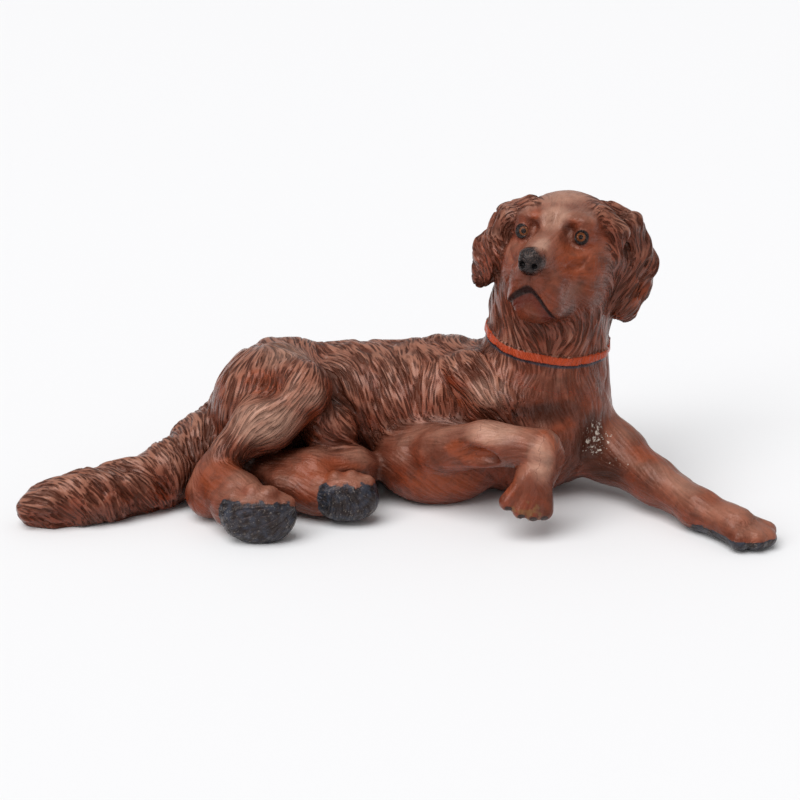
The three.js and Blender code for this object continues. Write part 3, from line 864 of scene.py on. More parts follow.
@dataclass
class SoftNoise:
    """Seeded random values on a repeating cube of cells, eased between cell corners."""

    seed: int
    side: int = 64
    table: Array = field(init=False)

    def __post_init__(self) -> None:
        """Draws the corner values, evenly from -1 to 1."""
        self.table = np.random.default_rng(self.seed).uniform(-1, 1, (self.side,) * 3).astype(np.float32)

    def __call__(self, p: Array) -> Array:
        """Value at points, one cell being one unit: the mean of the eight corners, eased by 3t² - 2t³.

        Args:
            p: points, one a row.

        Returns:
            Values from -1 to 1.
        """
        floor = np.floor(p)
        t = (p - floor).astype(np.float32)
        t = t * t * (3 - 2 * t)
        i = floor.astype(np.int64) % self.side
        j = (i + 1) % self.side
        flat = self.table.reshape(-1)
        total = 0
        for corner, weight in corner_weights(t):
            x, y, z = ((j if c else i)[:, m] for m, c in enumerate(corner))
            total = total + weight * flat[(x * self.side + y) * self.side + z]
        return total


@dataclass
class CoatField:
    """The lie of the hair and the depth of its carving, kept on a coarse grid round the figure."""

    figure: Figure
    step: float = 0.6
    softness: float = 0.7
    far: float = 6.0
    margin: float = 2.5
    sway_cell: float = 4.5
    sway: float = 1.2
    low: Array = field(init=False)
    grid: Array = field(init=False)

    def __post_init__(self) -> None:
        """Blends the lie and the style of nearby forms, and lets the lie wander by soft noise.

        A form's weight is exp(-(its distance - the least distance)/softness). Each grid point keeps the lie's
        three parts, then the groove depth, lock height and waviness.
        """
        self.low = np.array(self.figure.low, float)
        lines = [np.arange(a, b + self.step, self.step) for a, b in zip(self.figure.low, self.figure.high)]
        shape = [len(a) for a in lines]
        p = np.stack(np.meshgrid(*lines, indexing="ij"), -1).reshape(-1, 3)
        least = np.full(len(p), self.far)
        rows = []
        for form in self.figure.forms:
            if form.cut:
                continue
            near = np.nonzero(np.linalg.norm(p - form.middle, axis=1) < form.reach + self.margin)[0]
            e = form.distance(p[near])
            rows.append((form, near, e))
            least[near] = np.minimum(least[near], e)
        total = np.zeros((len(p), 6))
        weight = np.full(len(p), 1e-6)
        for form, near, e in rows:
            w = np.exp(-np.minimum((e - least[near]) / self.softness, 30))
            total[near, :3] += w[:, None] * form.lie(p[near])
            total[near, 3:] += w[:, None] * form.coat.style
            weight[near] += w
        total /= weight[:, None]
        wander = np.stack([SoftNoise(seed)(p / self.sway_cell) for seed in (31, 32, 33)], 1)
        total[:, :3] += wander * total[:, 5:6] * self.sway
        self.grid = total.reshape(*shape, 6).astype(np.float32)

    def at(self, p: Array, channels: slice) -> Array:
        """Values between the grid's points, by weighting the eight round each one.

        Args:
            p: points, one a row.
            channels: which values to read.

        Returns:
            One row of values for each point.
        """
        q = (p - self.low) / self.step
        limit = np.array(self.grid.shape[:3]) - 2
        i = np.clip(np.floor(q).astype(np.int64), 0, limit)
        t = np.clip(q - i, 0, 1).astype(np.float32)
        ny, nz = self.grid.shape[1:3]
        flat = self.grid.reshape(-1, 6)[:, channels]
        total = 0
        for corner, weight in corner_weights(t):
            x, y, z = (i + corner).T
            total = total + weight[:, None] * flat[(x * ny + y) * nz + z]
        return total

    def lie(self, p: Array, normal: Array) -> Array:
        """Unit direction of the hair at points, laid flat on the surface whose normals are given."""
        v = self.at(p, slice(0, 3))
        v = v - (v * normal).sum(1, keepdims=True) * normal
        return v / lengths(v)

    def style(self, p: Array) -> Array:
        """Groove depth, lock height and waviness at points, one row each."""
        return self.at(p, slice(3, 6))


@dataclass
class Hair:
    """Carved hair: noise smeared along the lie of the coat, whose low runs become tapered grooves."""

    coat: CoatField
    strand: float = 0.48
    lock: float = 1.8
    stride: float = 0.26
    reach: int = 7
    land: float = 0.0
    floor: float = 1.5

    def smear(self, p: Array, normal: Array, noises: Sequence[tuple[SoftNoise, float]]) -> list[Array]:
        """Means of noise along the hair through each point, scaled to a spread of one.

        From each point the walk takes `reach` strides each way along the lie of the hair and averages the
        noise on the way, with a weight that falls off evenly.

        Args:
            p: points on the surface, one a row.
            normal: their normals.
            noises: pairs of a noise and its cell size.

        Returns:
            One array of values for each noise.
        """
        sums = [noise(p / cell) for noise, cell in noises]
        weights = 1.0
        for way in (-1, 1):
            q = p.copy()
            heading = self.coat.lie(q, normal) * way
            for n in range(1, self.reach + 1):
                q = q + self.stride * heading
                ahead = self.coat.lie(q, normal)
                turn = np.sign((ahead * heading).sum(1, keepdims=True))
                heading = ahead * np.where(turn == 0, 1, turn)
                w = 1 - n / (self.reach + 1)
                weights += w
                for m, (noise, cell) in enumerate(noises):
                    sums[m] = sums[m] + w * noise(q / cell)
        return [s / s.std() for s in sums]

    def relief(self, p: Array, normal: Array) -> tuple[Array, Array, Array]:
        """Height of the carving: rounded locks, and on them strands with tapered grooves between them.

        A groove opens where the smeared noise falls below `land`, and is at its full depth where the noise is
        `floor` lower, so each one is a stroke of its own that thins out at both ends.

        Args:
            p: points on the surface, one a row.
            normal: their normals.

        Returns:
            The height in shares, the groove's share of its full depth, and the lock noise.
        """
        strands, locks = self.smear(p, normal, [(SoftNoise(7), self.strand), (SoftNoise(11), self.lock)])
        style = self.coat.style(p)
        groove = smoothstep(self.land - strands, 0.0, self.floor)
        height = style[:, 1] * np.tanh(locks) - style[:, 0] * groove
        return height, groove, locks


def triangles_of(points: Array, squares: Array) -> Array:
    """Splits each square along its shorter diagonal.

    Args:
        points: vertices.
        squares: four vertex numbers a row.

    Returns:
        Three vertex numbers a row.
    """
    a, b, c, d = squares.T
    first = np.linalg.norm(points[a] - points[c], axis=1) <= np.linalg.norm(points[b] - points[d], axis=1)
    one = np.where(first[:, None], np.stack([a, b, c], 1), np.stack([a, b, d], 1))
    two = np.where(first[:, None], np.stack([a, c, d], 1), np.stack([b, c, d], 1))
    return np.concatenate([one, two])


def mesh_of(name: str, points: Array, triangles: Array) -> bpy.types.Mesh:
    """A smooth-shaded mesh from whole arrays.

    Args:
        name: the mesh's name.
        points: vertices in metres.
        triangles: three vertex numbers a row.

    Returns:
        The new mesh.
    """
    mesh = bpy.data.meshes.new(name)
    mesh.vertices.add(len(points))
    mesh.vertices.foreach_set("co", points.astype(np.float32).ravel())
    mesh.loops.add(triangles.size)
    mesh.loops.foreach_set("vertex_index", triangles.astype(np.int32).ravel())
    mesh.polygons.add(len(triangles))
    mesh.polygons.foreach_set("loop_start", np.arange(0, triangles.size, 3, dtype=np.int32))
    mesh.polygons.foreach_set("use_smooth", np.ones(len(triangles), bool))
    mesh.update(calc_edges=True)
    mesh.validate()
    return mesh


def thinned(name: str, mesh: bpy.types.Mesh, budget: int) -> bpy.types.Mesh:
    """Folds the mesh's cheapest edges away until `budget` triangles are left.

    Args:
        name: the new mesh's name.
        mesh: the dense mesh, which is deleted.
        budget: the most triangles to keep.

    Returns:
        The thinned mesh.
    """
    dense = bpy.data.objects.new(name + "_dense", mesh)
    bpy.context.scene.collection.objects.link(dense)
    fold = dense.modifiers.new("thin", "DECIMATE")
    fold.ratio = min(1.0, budget / len(mesh.polygons))
    view = bpy.context.evaluated_depsgraph_get()
    kept = bpy.data.meshes.new_from_object(dense.evaluated_get(view), depsgraph=view)
    kept.name = name
    bpy.data.objects.remove(dense)
    bpy.data.meshes.remove(mesh)
    kept.polygons.foreach_set("use_smooth", np.ones(len(kept.polygons), bool))
    return kept


def points_of(mesh: bpy.types.Mesh) -> Array:
    """The mesh's vertices, one a row."""
    flat = np.empty(len(mesh.vertices) * 3, np.float32)
    mesh.vertices.foreach_get("co", flat)
    return flat.reshape(-1, 3).astype(float)


def paint_values(mesh: bpy.types.Mesh, name: str, values: Array) -> None:
    """Stores a number or a vector for each vertex as a named attribute.

    Args:
        mesh: the mesh that gets it.
        name: the attribute's name.
        values: one number or one row of three for each vertex.
    """
    kind = "FLOAT_VECTOR" if values.ndim == 2 else "FLOAT"
    layer = mesh.attributes.new(name, kind, "POINT")
    layer.data.foreach_set("vector" if values.ndim == 2 else "value", values.astype(np.float32).ravel())


@dataclass
class Setting:
    """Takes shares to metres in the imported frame: the middle of the drawn box goes over the frame's origin."""

    middle: Array
    scale: float = SHARE

    def metres(self, p: Array) -> Array:
        """Shares to metres."""
        return (np.asarray(p, float) - self.middle) * self.scale

    def shares(self, p: Array) -> Array:
        """Metres to shares."""
        return np.asarray(p, float) / self.scale + self.middle


class Value:
    """A shader socket in sums and products with numbers and other sockets."""

    def __init__(self, shader: "Shader", socket: Socket) -> None:
        """Wraps one output socket."""
        self.shader = shader
        self.socket = socket

    def _math(self, operation: str, *terms) -> "Value":
        """Adds one Math node."""
        node = self.shader.node("ShaderNodeMath", {"operation": operation}, dict(enumerate(terms)))
        return Value(self.shader, node.outputs[0])

    def __add__(self, other) -> "Value":
        """self + other."""
        return self._math("ADD", self, other)

    __radd__ = __add__

    def __sub__(self, other) -> "Value":
        """self - other."""
        return self._math("SUBTRACT", self, other)

    def __rsub__(self, other) -> "Value":
        """other - self."""
        return self._math("SUBTRACT", other, self)

    def __mul__(self, other) -> "Value":
        """self times other."""
        return self._math("MULTIPLY", self, other)

    __rmul__ = __mul__

    def size(self) -> "Value":
        """self without its sign."""
        return self._math("ABSOLUTE", self)

    def least(self, other) -> "Value":
        """The smaller of self and other."""
        return self._math("MINIMUM", self, other)

    def most(self, other) -> "Value":
        """The larger of self and other."""
        return self._math("MAXIMUM", self, other)

    def rise(self, low: float, high: float) -> "Value":
        """An eased step, 3t² - 2t³ between its ends.

        Args:
            low, high: where the step starts and ends.

        Returns:
            0 below `low` and 1 above `high`.
        """
        node = self.shader.node(
            "ShaderNodeMapRange",
            {"interpolation_type": "SMOOTHSTEP"},
            {"Value": self, "From Min": low, "From Max": high, "To Min": 0.0, "To Max": 1.0},
        )
        return Value(self.shader, node.outputs[0])

    def fall(self, low: float, high: float) -> "Value":
        """1 below `low`, 0 above `high`, eased between."""
        return 1 - self.rise(low, high)


class Shader:
    """Builds one material's nodes."""

    def __init__(self, name: str) -> None:
        """Starts a material with a plain Principled surface.

        Args:
            name: the material's name.
        """
        self.material = bpy.data.materials.new(name)
        self.material.use_nodes = True
        self.tree = self.material.node_tree
        self.surface = self.tree.nodes["Principled BSDF"]

    def node(self, kind: str, settings: Optional[dict] = None, inputs: Optional[dict] = None) -> bpy.types.Node:
        """Adds a node.

        Args:
            kind: the node's type.
            settings: its own settings, made first.
            inputs: values or links of its sockets, by name or number.

        Returns:
            The new node.
        """
        node = self.tree.nodes.new(kind)
        for key, value in (settings or {}).items():
            setattr(node, key, value)
        for key, value in (inputs or {}).items():
            self.feed(node.inputs[key], value)
        return node

    def feed(self, socket: Socket, value) -> None:
        """Links a Value or a socket, or sets a plain number or colour.

        Args:
            socket: the input that gets it.
            value: what goes in.
        """
        if isinstance(value, Value):
            value = value.socket
        if isinstance(value, Socket):
            self.tree.links.new(value, socket)
        else:
            socket.default_value = value

    def attribute(self, name: str) -> Value:
        """A number stored at the vertices."""
        return Value(self, self.node("ShaderNodeAttribute", {"attribute_name": name}).outputs["Fac"])

    def vector(self, name: str) -> Socket:
        """A vector stored at the vertices."""
        return self.node("ShaderNodeAttribute", {"attribute_name": name}).outputs["Vector"]

    def place(self) -> Socket:
        """Object coordinates, in metres."""
        return self.node("ShaderNodeTexCoord").outputs["Object"]

    def noise(self, where: Socket, scale: float, detail: float = 2.0, rough: float = 0.5) -> Value:
        """Noise.

        Args:
            where: coordinates, in metres.
            scale: cells in a metre.
            detail: how many finer layers are added.
            rough: how strong each finer layer is.

        Returns:
            Values from 0 to 1, mostly near the middle.
        """
        node = self.node(
            "ShaderNodeTexNoise", {}, {"Vector": where, "Scale": scale, "Detail": detail, "Roughness": rough}
        )
        return Value(self, node.outputs[0])

    def combed(self, where: Socket, along: Socket, scale: float, stride: float, reach: int, gain: float) -> Value:
        """Noise averaged along a direction, with a weight that falls off evenly, so that it draws strands.

        Args:
            where: coordinates, in metres.
            along: the direction, a unit vector.
            scale: the noise's scale.
            stride: metres from one sample to the next.
            reach: how many samples lie on each side.
            gain: how far the mean is spread, as averaging flattens it.

        Returns:
            The mean, from about -1 to 1.
        """
        total, weights = 0.0, 0.0
        for k in range(-reach, reach + 1):
            weight = 1 - abs(k) / (reach + 1)
            shifted = self.node(
                "ShaderNodeVectorMath", {"operation": "MULTIPLY_ADD"}, {0: along, 1: (k * stride,) * 3, 2: where}
            )
            total = self.noise(shifted.outputs[0], scale, 0.0) * weight + total
            weights += weight
        return (total * (1 / weights) - 0.5) * gain

    def away(self, where: Socket, spot: Vector) -> Value:
        """Distance of a place from a spot."""
        node = self.node("ShaderNodeVectorMath", {"operation": "DISTANCE"}, {0: where, 1: tuple(spot)})
        return Value(self, node.outputs["Value"])

    def blend(self, factor: Value, a, b) -> Socket:
        """Mixes one colour over another.

        Args:
            factor: how much of `b` shows, from 0 to 1.
            a, b: colours or sockets.

        Returns:
            The mixed colour.
        """
        node = self.node("ShaderNodeMix", {"data_type": "RGBA"}, {0: factor})
        self.feed(node.inputs[6], a)
        self.feed(node.inputs[7], b)
        return node.outputs[2]


class Tint(Enum):
    """The painter's colours, in linear light."""

    # Dark red-brown for the grooves and stains, and for the painted shade in the hollows.
    GROOVE = (0.040, 0.009, 0.004, 1)
    BROWN = (0.135, 0.034, 0.018, 1)
    RUSSET = (0.195, 0.036, 0.014, 1)
    # Pinkish brown for drybrush and painted highlights.
    DRYBRUSH_AND_HIGHLIGHT = (0.390, 0.190, 0.128, 1)
    # Pale tan for the painted highlights.
    PALE_HIGHLIGHT = (0.540, 0.320, 0.235, 1)
    RUST = (0.250, 0.046, 0.012, 1)
    BLACK = (0.005, 0.006, 0.008, 1)
    COLLAR = (0.420, 0.052, 0.013, 1)
    SLATE = (0.026, 0.036, 0.054, 1)
    AMBER = (0.150, 0.042, 0.010, 1)
    CHIN = (0.090, 0.012, 0.008, 1)
    CHIP = (0.600, 0.540, 0.470, 1)
    OCHRE = (0.200, 0.120, 0.045, 1)


@dataclass(frozen=True)
class Varnish:
    """The satin varnish and the fine relief under it, of which `depth` is in metres."""

    roughness: float = 0.32
    sheen: float = 0.34
    sheen_tint: tuple = (1.0, 0.66, 0.54, 1)
    coat: float = 0.3
    coat_roughness: float = 0.22
    coat_tint: tuple = (1.0, 0.86, 0.8, 1)
    depth: float = 0.0007


@dataclass(frozen=True)
class Patch:
    """A soft patch of paint: full at its middle and gone at its radii."""

    centre: tuple
    radii: tuple
    strength: float = 1.0

    def cover(self, p: Array) -> Array:
        """Strength times an eased fall from the middle to the radii."""
        k = np.linalg.norm((p - np.array(self.centre)) / np.array(self.radii), axis=1)
        return self.strength * (1 - smoothstep(k, 0.35, 1.0))


def covered(p: Array, patches: Iterable[Patch]) -> Array:
    """The strongest of several patches at each point."""
    return np.maximum.reduce([patch.cover(p) for patch in patches])


@dataclass
class PaintedCoat:
    """Where the painter put each colour, with the painted shade and painted highlights, as values at the vertices."""

    figure: Figure
    hair: Hair
    rust: tuple = (
        Patch((9.4, -16, 10.7), (6, 3, 2.2)),  # forearm
        Patch((18.9, -20.3, 13.2), (2.4, 3, 3.4), 0.8),  # wrist
        Patch((14.5, -21, 8), (1.6, 3, 3), 0.6),
        Patch((6, -12, 4.5), (9, 5, 4), 0.7),  # elbow
        Patch((7.5, -9, 15), (5, 4, 3), 0.6),
        Patch((-19.2, -8, 17.8), (5.2, 4, 2.6)),  # hollow of the thigh
        Patch((-14, -10, 13), (5, 4, 4), 0.5),
        Patch((-23.9, -16, 7.0), (4.5, 6, 3.6)),  # near heel
        Patch((-10, -13.5, 6.6), (8, 4.5, 3.2), 0.9),  # far hind foot
        Patch((33.4, -3.8, 28.6), (2.2, 3, 4.4), 0.9),  # ear
        Patch((34.5, -10, 8.6), (4.5, 5, 2.6), 0.9),  # stretched leg
        Patch((41.5, -18, 5), (3.5, 4, 2.4), 0.6),
        Patch((23, -12, 12), (4, 4, 5), 0.6),  # breast
        Patch((0, -6, 6), (8, 5, 3), 0.5),  # belly
    )
    face_rust: tuple = (
        Patch((12.2, -2.4, -1.4), (4, 1.6, 2.6)),  # muzzle
        Patch((9.2, 3.6, -1.4), (4.6, 4.0, 4.4), 0.85),  # cheek
        Patch((6.6, 6.4, -2.4), (4.6, 4.4, 6.4), 0.6),
        Patch((6.2, 3.0, 3.2), (2.4, 2.0, 1.3), 0.5),  # brows
        Patch((6.2, -2.4, 3.8), (2.4, 1.4, 1.3), 0.7),
        Patch((12.4, 1.2, -6.4), (4, 4, 3.4), 0.4),  # chin
    )
    # Painted highlights: pale paint standing in for the light on the forehead, the bridge of the nose, the crown and
    # the lip.
    face_painted_highlight: tuple = (
        Patch((7.0, 0.2, 4.4), (4, 2.6, 3.0), 0.9),  # forehead
        Patch((12.6, 0.5, 0.4), (3.6, 1.3, 2.4)),  # bridge of the nose
        Patch((2, 0, 6.5), (5, 4, 2.5), 0.6),  # crown
        Patch((10.5, 5.2, -5.4), (3, 2.0, 2.6), 0.35),  # lip
    )
    dust: tuple = (
        Patch((27.4, -8.6, 9.6), (3.2, 4, 4.6)),  # armpit
        Patch((30, -8, 7), (5, 6, 3), 0.45),
        Patch((-26, -14, 3), (4, 4, 3), 0.4),  # heel
    )
    # Painted highlights: pale paint standing in for the light on top of the forearm, wrist, lower hind leg, knee,
    # thigh, stretched leg and shoulder.
    painted_highlight: tuple = (
        Patch((12.6, -16.8, 13.6), (5.5, 3.5, 2.2), 0.65),  # forearm
        Patch((18.4, -21, 11.4), (2.2, 2.5, 4.2), 0.8),  # wrist
        Patch((-18, -13, 13.6), (7, 5, 4), 0.75),  # lower hind leg
        Patch((-12.5, -12.5, 16.8), (5.5, 4, 3), 0.5),  # knee
        Patch((-16, -3, 20), (5, 6, 4), 0.4),  # top of the thigh
        Patch((38.5, -16.5, 6.4), (4, 4, 2), 0.25),  # stretched leg
        Patch((12, -9, 16.4), (4, 3, 3), 0.4),  # shoulder
    )
    # Painted shade: darker paint where shade falls, in the armpit, on the breast, on the throat and behind the knee.
    painted_shade: tuple = (
        Patch((26.6, -8.6, 9.4), (3.4, 5, 6)),  # armpit
        Patch((29.5, -8, 5.4), (5, 5, 3.4), 0.8),
        Patch((20.5, -11, 14), (5, 4, 2.4), 0.8),  # breast
        Patch((20, -10, 28.5), (5, 5, 2.4), 0.7),  # throat
        Patch((-10.5, -8, 9.6), (2, 3, 4), 0.6),  # behind the knee
    )
    paw_top: float = 5.8
    reach_sole: tuple = (37.5, 1.5)
    shut_reaches: tuple = (0.7, 1.5, 3.0)
    full_groove: float = 0.15
    mouth: tuple = (9.4, 4.4)
    nowhere: float = 9.0

    def pads(self, p: Array) -> Array:
        """The painted soles: the two eggs of the hind feet below their toes, and under the stretched paw.

        Args:
            p: points, one a row.

        Returns:
            1 on a sole and 0 off it, with soft edges.
        """
        legs = self.figure.hind_legs
        cover = np.zeros(len(p))
        for centre, radii in ((legs.near_sole, legs.near_sole_radii), (legs.far_sole, legs.far_sole_radii)):
            off = egg(centre, radii, 0, Coat.PAW, power=2.3).distance(p)
            cover = np.maximum(cover, 1 - smoothstep(off, 0.2, 0.7))
        cover *= 1 - smoothstep(p[:, 2], self.paw_top - 0.6, self.paw_top + 1.2)
        start, height = self.reach_sole
        under = smoothstep(p[:, 0], start, start + 2.5) * (1 - smoothstep(p[:, 2], height, height + 0.5))
        return np.maximum(cover, under)

    def shut(self, p: Array, normal: Array) -> Array:
        """How closed in the surface is: the mean over several reaches of 1 - (free distance there over reach).

        Args:
            p: points on the surface, one a row.
            normal: their normals.

        Returns:
            From 0 in the open to 1 in a crevice.
        """
        shares = [np.clip(1 - self.figure.distance(p + r * normal) / r, 0, 1) for r in self.shut_reaches]
        return sum(shares) / len(shares)

    def apply(self, mesh: bpy.types.Mesh, setting: Setting) -> None:
        """Stores every paint value on the mesh.

        Args:
            mesh: the finished mesh, in metres.
            setting: the place of the shares in the frame.
        """
        p = setting.shares(points_of(mesh))
        head, collar, coat = self.figure.head, self.figure.collar, self.hair.coat
        q = head.local(p)
        slope = self.figure.slope(p)
        normal = slope / lengths(slope)
        _, groove, locks = self.hair.relief(p, normal)
        far = np.linalg.norm(p - np.array(collar.point), axis=1) > collar.reach
        front, aside = self.mouth
        off_face = (q[:, 0] < front) | (np.abs(q[:, 1]) > aside)
        paints = {
            "groove": groove,
            "lock": locks,
            "shut": self.shut(p, normal),
            "furred": np.clip(coat.style(p)[:, 0] / self.full_groove, 0, 1.4),
            "rust": np.maximum(covered(p, self.rust), covered(q, self.face_rust)),
            # Where highlights are painted in, from the highlight patches.
            "painted_highlight": np.maximum(covered(p, self.painted_highlight), covered(q, self.face_painted_highlight)),
            "dust": covered(p, self.dust),
            # Where shade is painted in, from the shade patches.
            "painted_shade": covered(p, self.painted_shade),
            "pads": self.pads(p),
            # How far the surface faces up, which lightens the coat as a painted highlight.
            "sky": normal[:, 2],
            "collar": np.where(far, self.nowhere, collar.height(p)),
            "lip": np.where(off_face, self.nowhere, head.above_lip(q)),
            "lie": coat.lie(p, normal),
        }
        for name, values in paints.items():
            paint_values(mesh, name, values)


@dataclass
class ResinPaint:
    """Hand-painted resin under a satin varnish: dark in the grooves, painted shade in the hollows, and paler drybrush
    with painted highlights on the raised hair and upper sides.
    """

    figure: Figure
    setting: Setting
    varnish: Varnish = Varnish()
    iris: float = 0.66
    pupil: float = 0.36
    rim: float = 1.05
    nose: float = 1.95
    claw: float = 0.55

    def spots(self, s: Shader, where: Socket, places: Iterable[Vector], radius: float) -> Value:
        """Round spots with soft edges.

        Args:
            s: the shader.
            where: object coordinates.
            places: the spots' middles, in shares.
            radius: their radius, in shares.

        Returns:
            1 within the radius of any of the places, and 0 outside.
        """
        size = radius * self.setting.scale
        nearest = None
        for place in places:
            away = s.away(where, self.setting.metres(place))
            nearest = away if nearest is None else nearest.least(away)
        return nearest.fall(size * 0.88, size * 1.06)

    def coat_colour(self, s: Shader, where: Socket, fur: Value) -> Socket:
        """Brown and russet in broad patches, dark in the grooves, painted shade in the hollows and shaded patches,
        and drybrush with painted highlights on the raised hair and upper sides.

        Args:
            s: the shader.
            where: object coordinates.
            fur: the fine strands, from about -1 between them to 1 on their tips.

        Returns:
            The coat's colour.
        """
        groove, shut, sky = s.attribute("groove"), s.attribute("shut"), s.attribute("sky")
        furred, lock, rust = s.attribute("furred"), s.attribute("lock"), s.attribute("rust")
        broad, mottle = s.noise(where, 38, 3), s.noise(where, 210, 3)
        colour = s.blend((broad + (mottle - 0.5) * 0.5).rise(0.38, 0.66), Tint.BROWN.value, Tint.RUSSET.value)
        warm = (rust * 1.1 + (mottle - 0.5) * 0.9).rise(0.25, 0.95)
        colour = s.blend(warm * 0.8, colour, Tint.RUST.value)
        stain = s.noise(where, 85, 4, 0.65).rise(0.5, 0.68)
        colour = s.blend(stain * 0.5, colour, Tint.GROOVE.value)
        deep = furred.rise(0.3, 0.9)
        # Drybrush on the raised hair together with painted highlights: paler where the surface faces up, none in
        # hollows, grooves or over the rust.
        crest_and_top_light = sky * 0.9 + lock * 0.12 + fur * deep * 0.35 + (broad - 0.5) * 1.1 + (mottle - 0.5) * 0.6 + 0.1
        drybrush_and_highlight = crest_and_top_light.rise(0.1, 1.2) * (1 - groove * deep * 0.6) * (1 - shut) * (1 - rust * 0.8)
        colour = s.blend(drybrush_and_highlight * (deep * 0.15 + 0.5), colour, Tint.DRYBRUSH_AND_HIGHLIGHT.value)
        dark = (groove * 0.65).most((0 - fur).rise(-0.1, 0.8) * 0.85) * (deep * 0.85 + 0.15)
        colour = s.blend(dark, colour, Tint.GROOVE.value)
        # Painted highlight: pale tan over the highlight patches, broken up by mottle and the strands.
        colour = s.blend(s.attribute("painted_highlight") * (mottle * 0.9 + fur * deep * 0.2 + 0.2), colour, Tint.PALE_HIGHLIGHT.value)
        # Painted shade: the groove colour in closed-in hollows and in the shaded patches.
        hidden = (shut * 1.5 - 0.25).most(s.attribute("painted_shade") * 1.1 + (mottle - 0.5) * 0.6)
        return s.blend(hidden.rise(0.0, 1.0) * 0.85, colour, Tint.GROOVE.value)

    def paw_colour(self, s: Shader, where: Socket, colour: Socket, mottle: Value) -> Socket:
        """Black soles and claws, and ochre between the toes of the hanging paw.

        Args:
            s: the shader.
            where: object coordinates.
            colour: the colour so far.
            mottle: small blotches, from 0 to 1.

        Returns:
            The colour with the paws painted over it.
        """
        fore = self.figure.forelegs
        ochre = self.spots(s, where, [(16.5, -22.5, 3.4)], 2.6) * mottle.rise(0.45, 0.6)
        colour = s.blend(ochre * 0.45, colour, Tint.OCHRE.value)
        claws = [(x, y - 1.0, z - 0.7) for x, y, z in fore.near_tips]
        claws += [(x + 0.5, y - 0.9, z - 0.8) for x, y, z in fore.far_tips]
        colour = s.blend(self.spots(s, where, claws, self.claw) * 0.9, colour, Tint.BLACK.value)
        pads = s.attribute("pads")
        sole = s.blend(mottle.rise(0.35, 0.7), Tint.BLACK.value, Tint.SLATE.value)
        return s.blend((pads + (mottle - 0.5) * 1.3).rise(0.35, 0.6), colour, sole)

    def face_colour(self, s: Shader, where: Socket, colour: Socket) -> tuple[Socket, Value]:
        """Lips, chin, nose and eyes.

        Args:
            s: the shader.
            where: object coordinates.
            colour: the colour so far.

        Returns:
            The colour, and where the paint is glossy: on nose and eyes.
        """
        head = self.figure.head
        lip = s.attribute("lip")
        colour = s.blend(lip.rise(-3.0, -1.0) * lip.fall(-0.2, 0.0) * 0.8, colour, Tint.CHIN.value)
        colour = s.blend(lip.size().fall(0.26, 0.62) * 0.92, colour, Tint.BLACK.value)
        tip = self.spots(s, where, [head.at(head.nose[0] + 0.3, 0, head.nose[2])], self.nose)
        fronts, gazes = [head.eye_front(side) for side in SIDES], [head.gaze(side) for side in SIDES]
        rims = self.spots(s, where, fronts, self.rim)
        colour = s.blend(tip.most(rims), colour, Tint.BLACK.value)
        colour = s.blend(self.spots(s, where, gazes, self.iris), colour, Tint.AMBER.value)
        colour = s.blend(self.spots(s, where, gazes, self.pupil), colour, Tint.BLACK.value)
        return colour, tip.most(rims)

    def collar_colour(self, s: Shader, colour: Socket, mottle: Value) -> tuple[Socket, Value]:
        """The orange band, showing wear in blotches, with a dark line below it.

        Args:
            s: the shader.
            colour: the colour so far.
            mottle: small blotches, from 0 to 1.

        Returns:
            The colour, and where the band is.
        """
        height, half = s.attribute("collar"), self.figure.collar.width / 2
        below = (height + half * 1.15).size().fall(half * 0.35, half * 0.75)
        colour = s.blend(below * 0.8, colour, Tint.SLATE.value)
        band = (height + (mottle - 0.5) * 0.25).size().fall(half * 0.8, half * 0.95)
        return s.blend(band * (mottle * 0.6 + 0.65).least(1.0), colour, Tint.COLLAR.value), band

    def chipped(self, s: Shader, where: Socket, colour: Socket, strands: Value) -> Socket:
        """Whitish specks where the paint is chipped, and scuffs on the soles.

        Args:
            s: the shader.
            where: object coordinates.
            colour: the colour so far.
            strands: the fine strands, from 0 between them to 1.

        Returns:
            The colour with the chips in it.
        """
        dust = s.attribute("dust")
        specks = (s.noise(where, 400, 4, 0.75) + dust * 0.17).rise(0.70, 0.75) * dust.rise(0.02, 0.3)
        scuffs = (s.noise(where, 600, 4, 0.75) + (strands - 0.6) * 0.1).rise(0.58, 0.72)
        return s.blend(specks.most(scuffs * s.attribute("pads") * 0.3) * 0.85, colour, Tint.CHIP.value)

    def fine_relief(self, s: Shader, where: Socket, strands: Value, bald: Value) -> Value:
        """Strands where there is hair, pits where it is short, and scratches where there is none.

        Args:
            s: the shader.
            where: object coordinates.
            strands: the fine strands, from 0 between them to 1.
            bald: 1 on soles, nose, eyes and collar.

        Returns:
            The height for the bump, from about 0 to 1.
        """
        hairy = s.attribute("furred").rise(0.2, 1.1) * 0.9 + 0.1
        pitted = s.noise(where, 520, 3, 0.6) * (1 - hairy) * 0.9
        scratch = strands * 0.5 + s.noise(where, 700, 2) * 0.6
        grain = s.noise(where, 1500, 2)
        return strands * hairy * (1 - bald * 0.9) + pitted + grain * 0.15 + scratch * bald

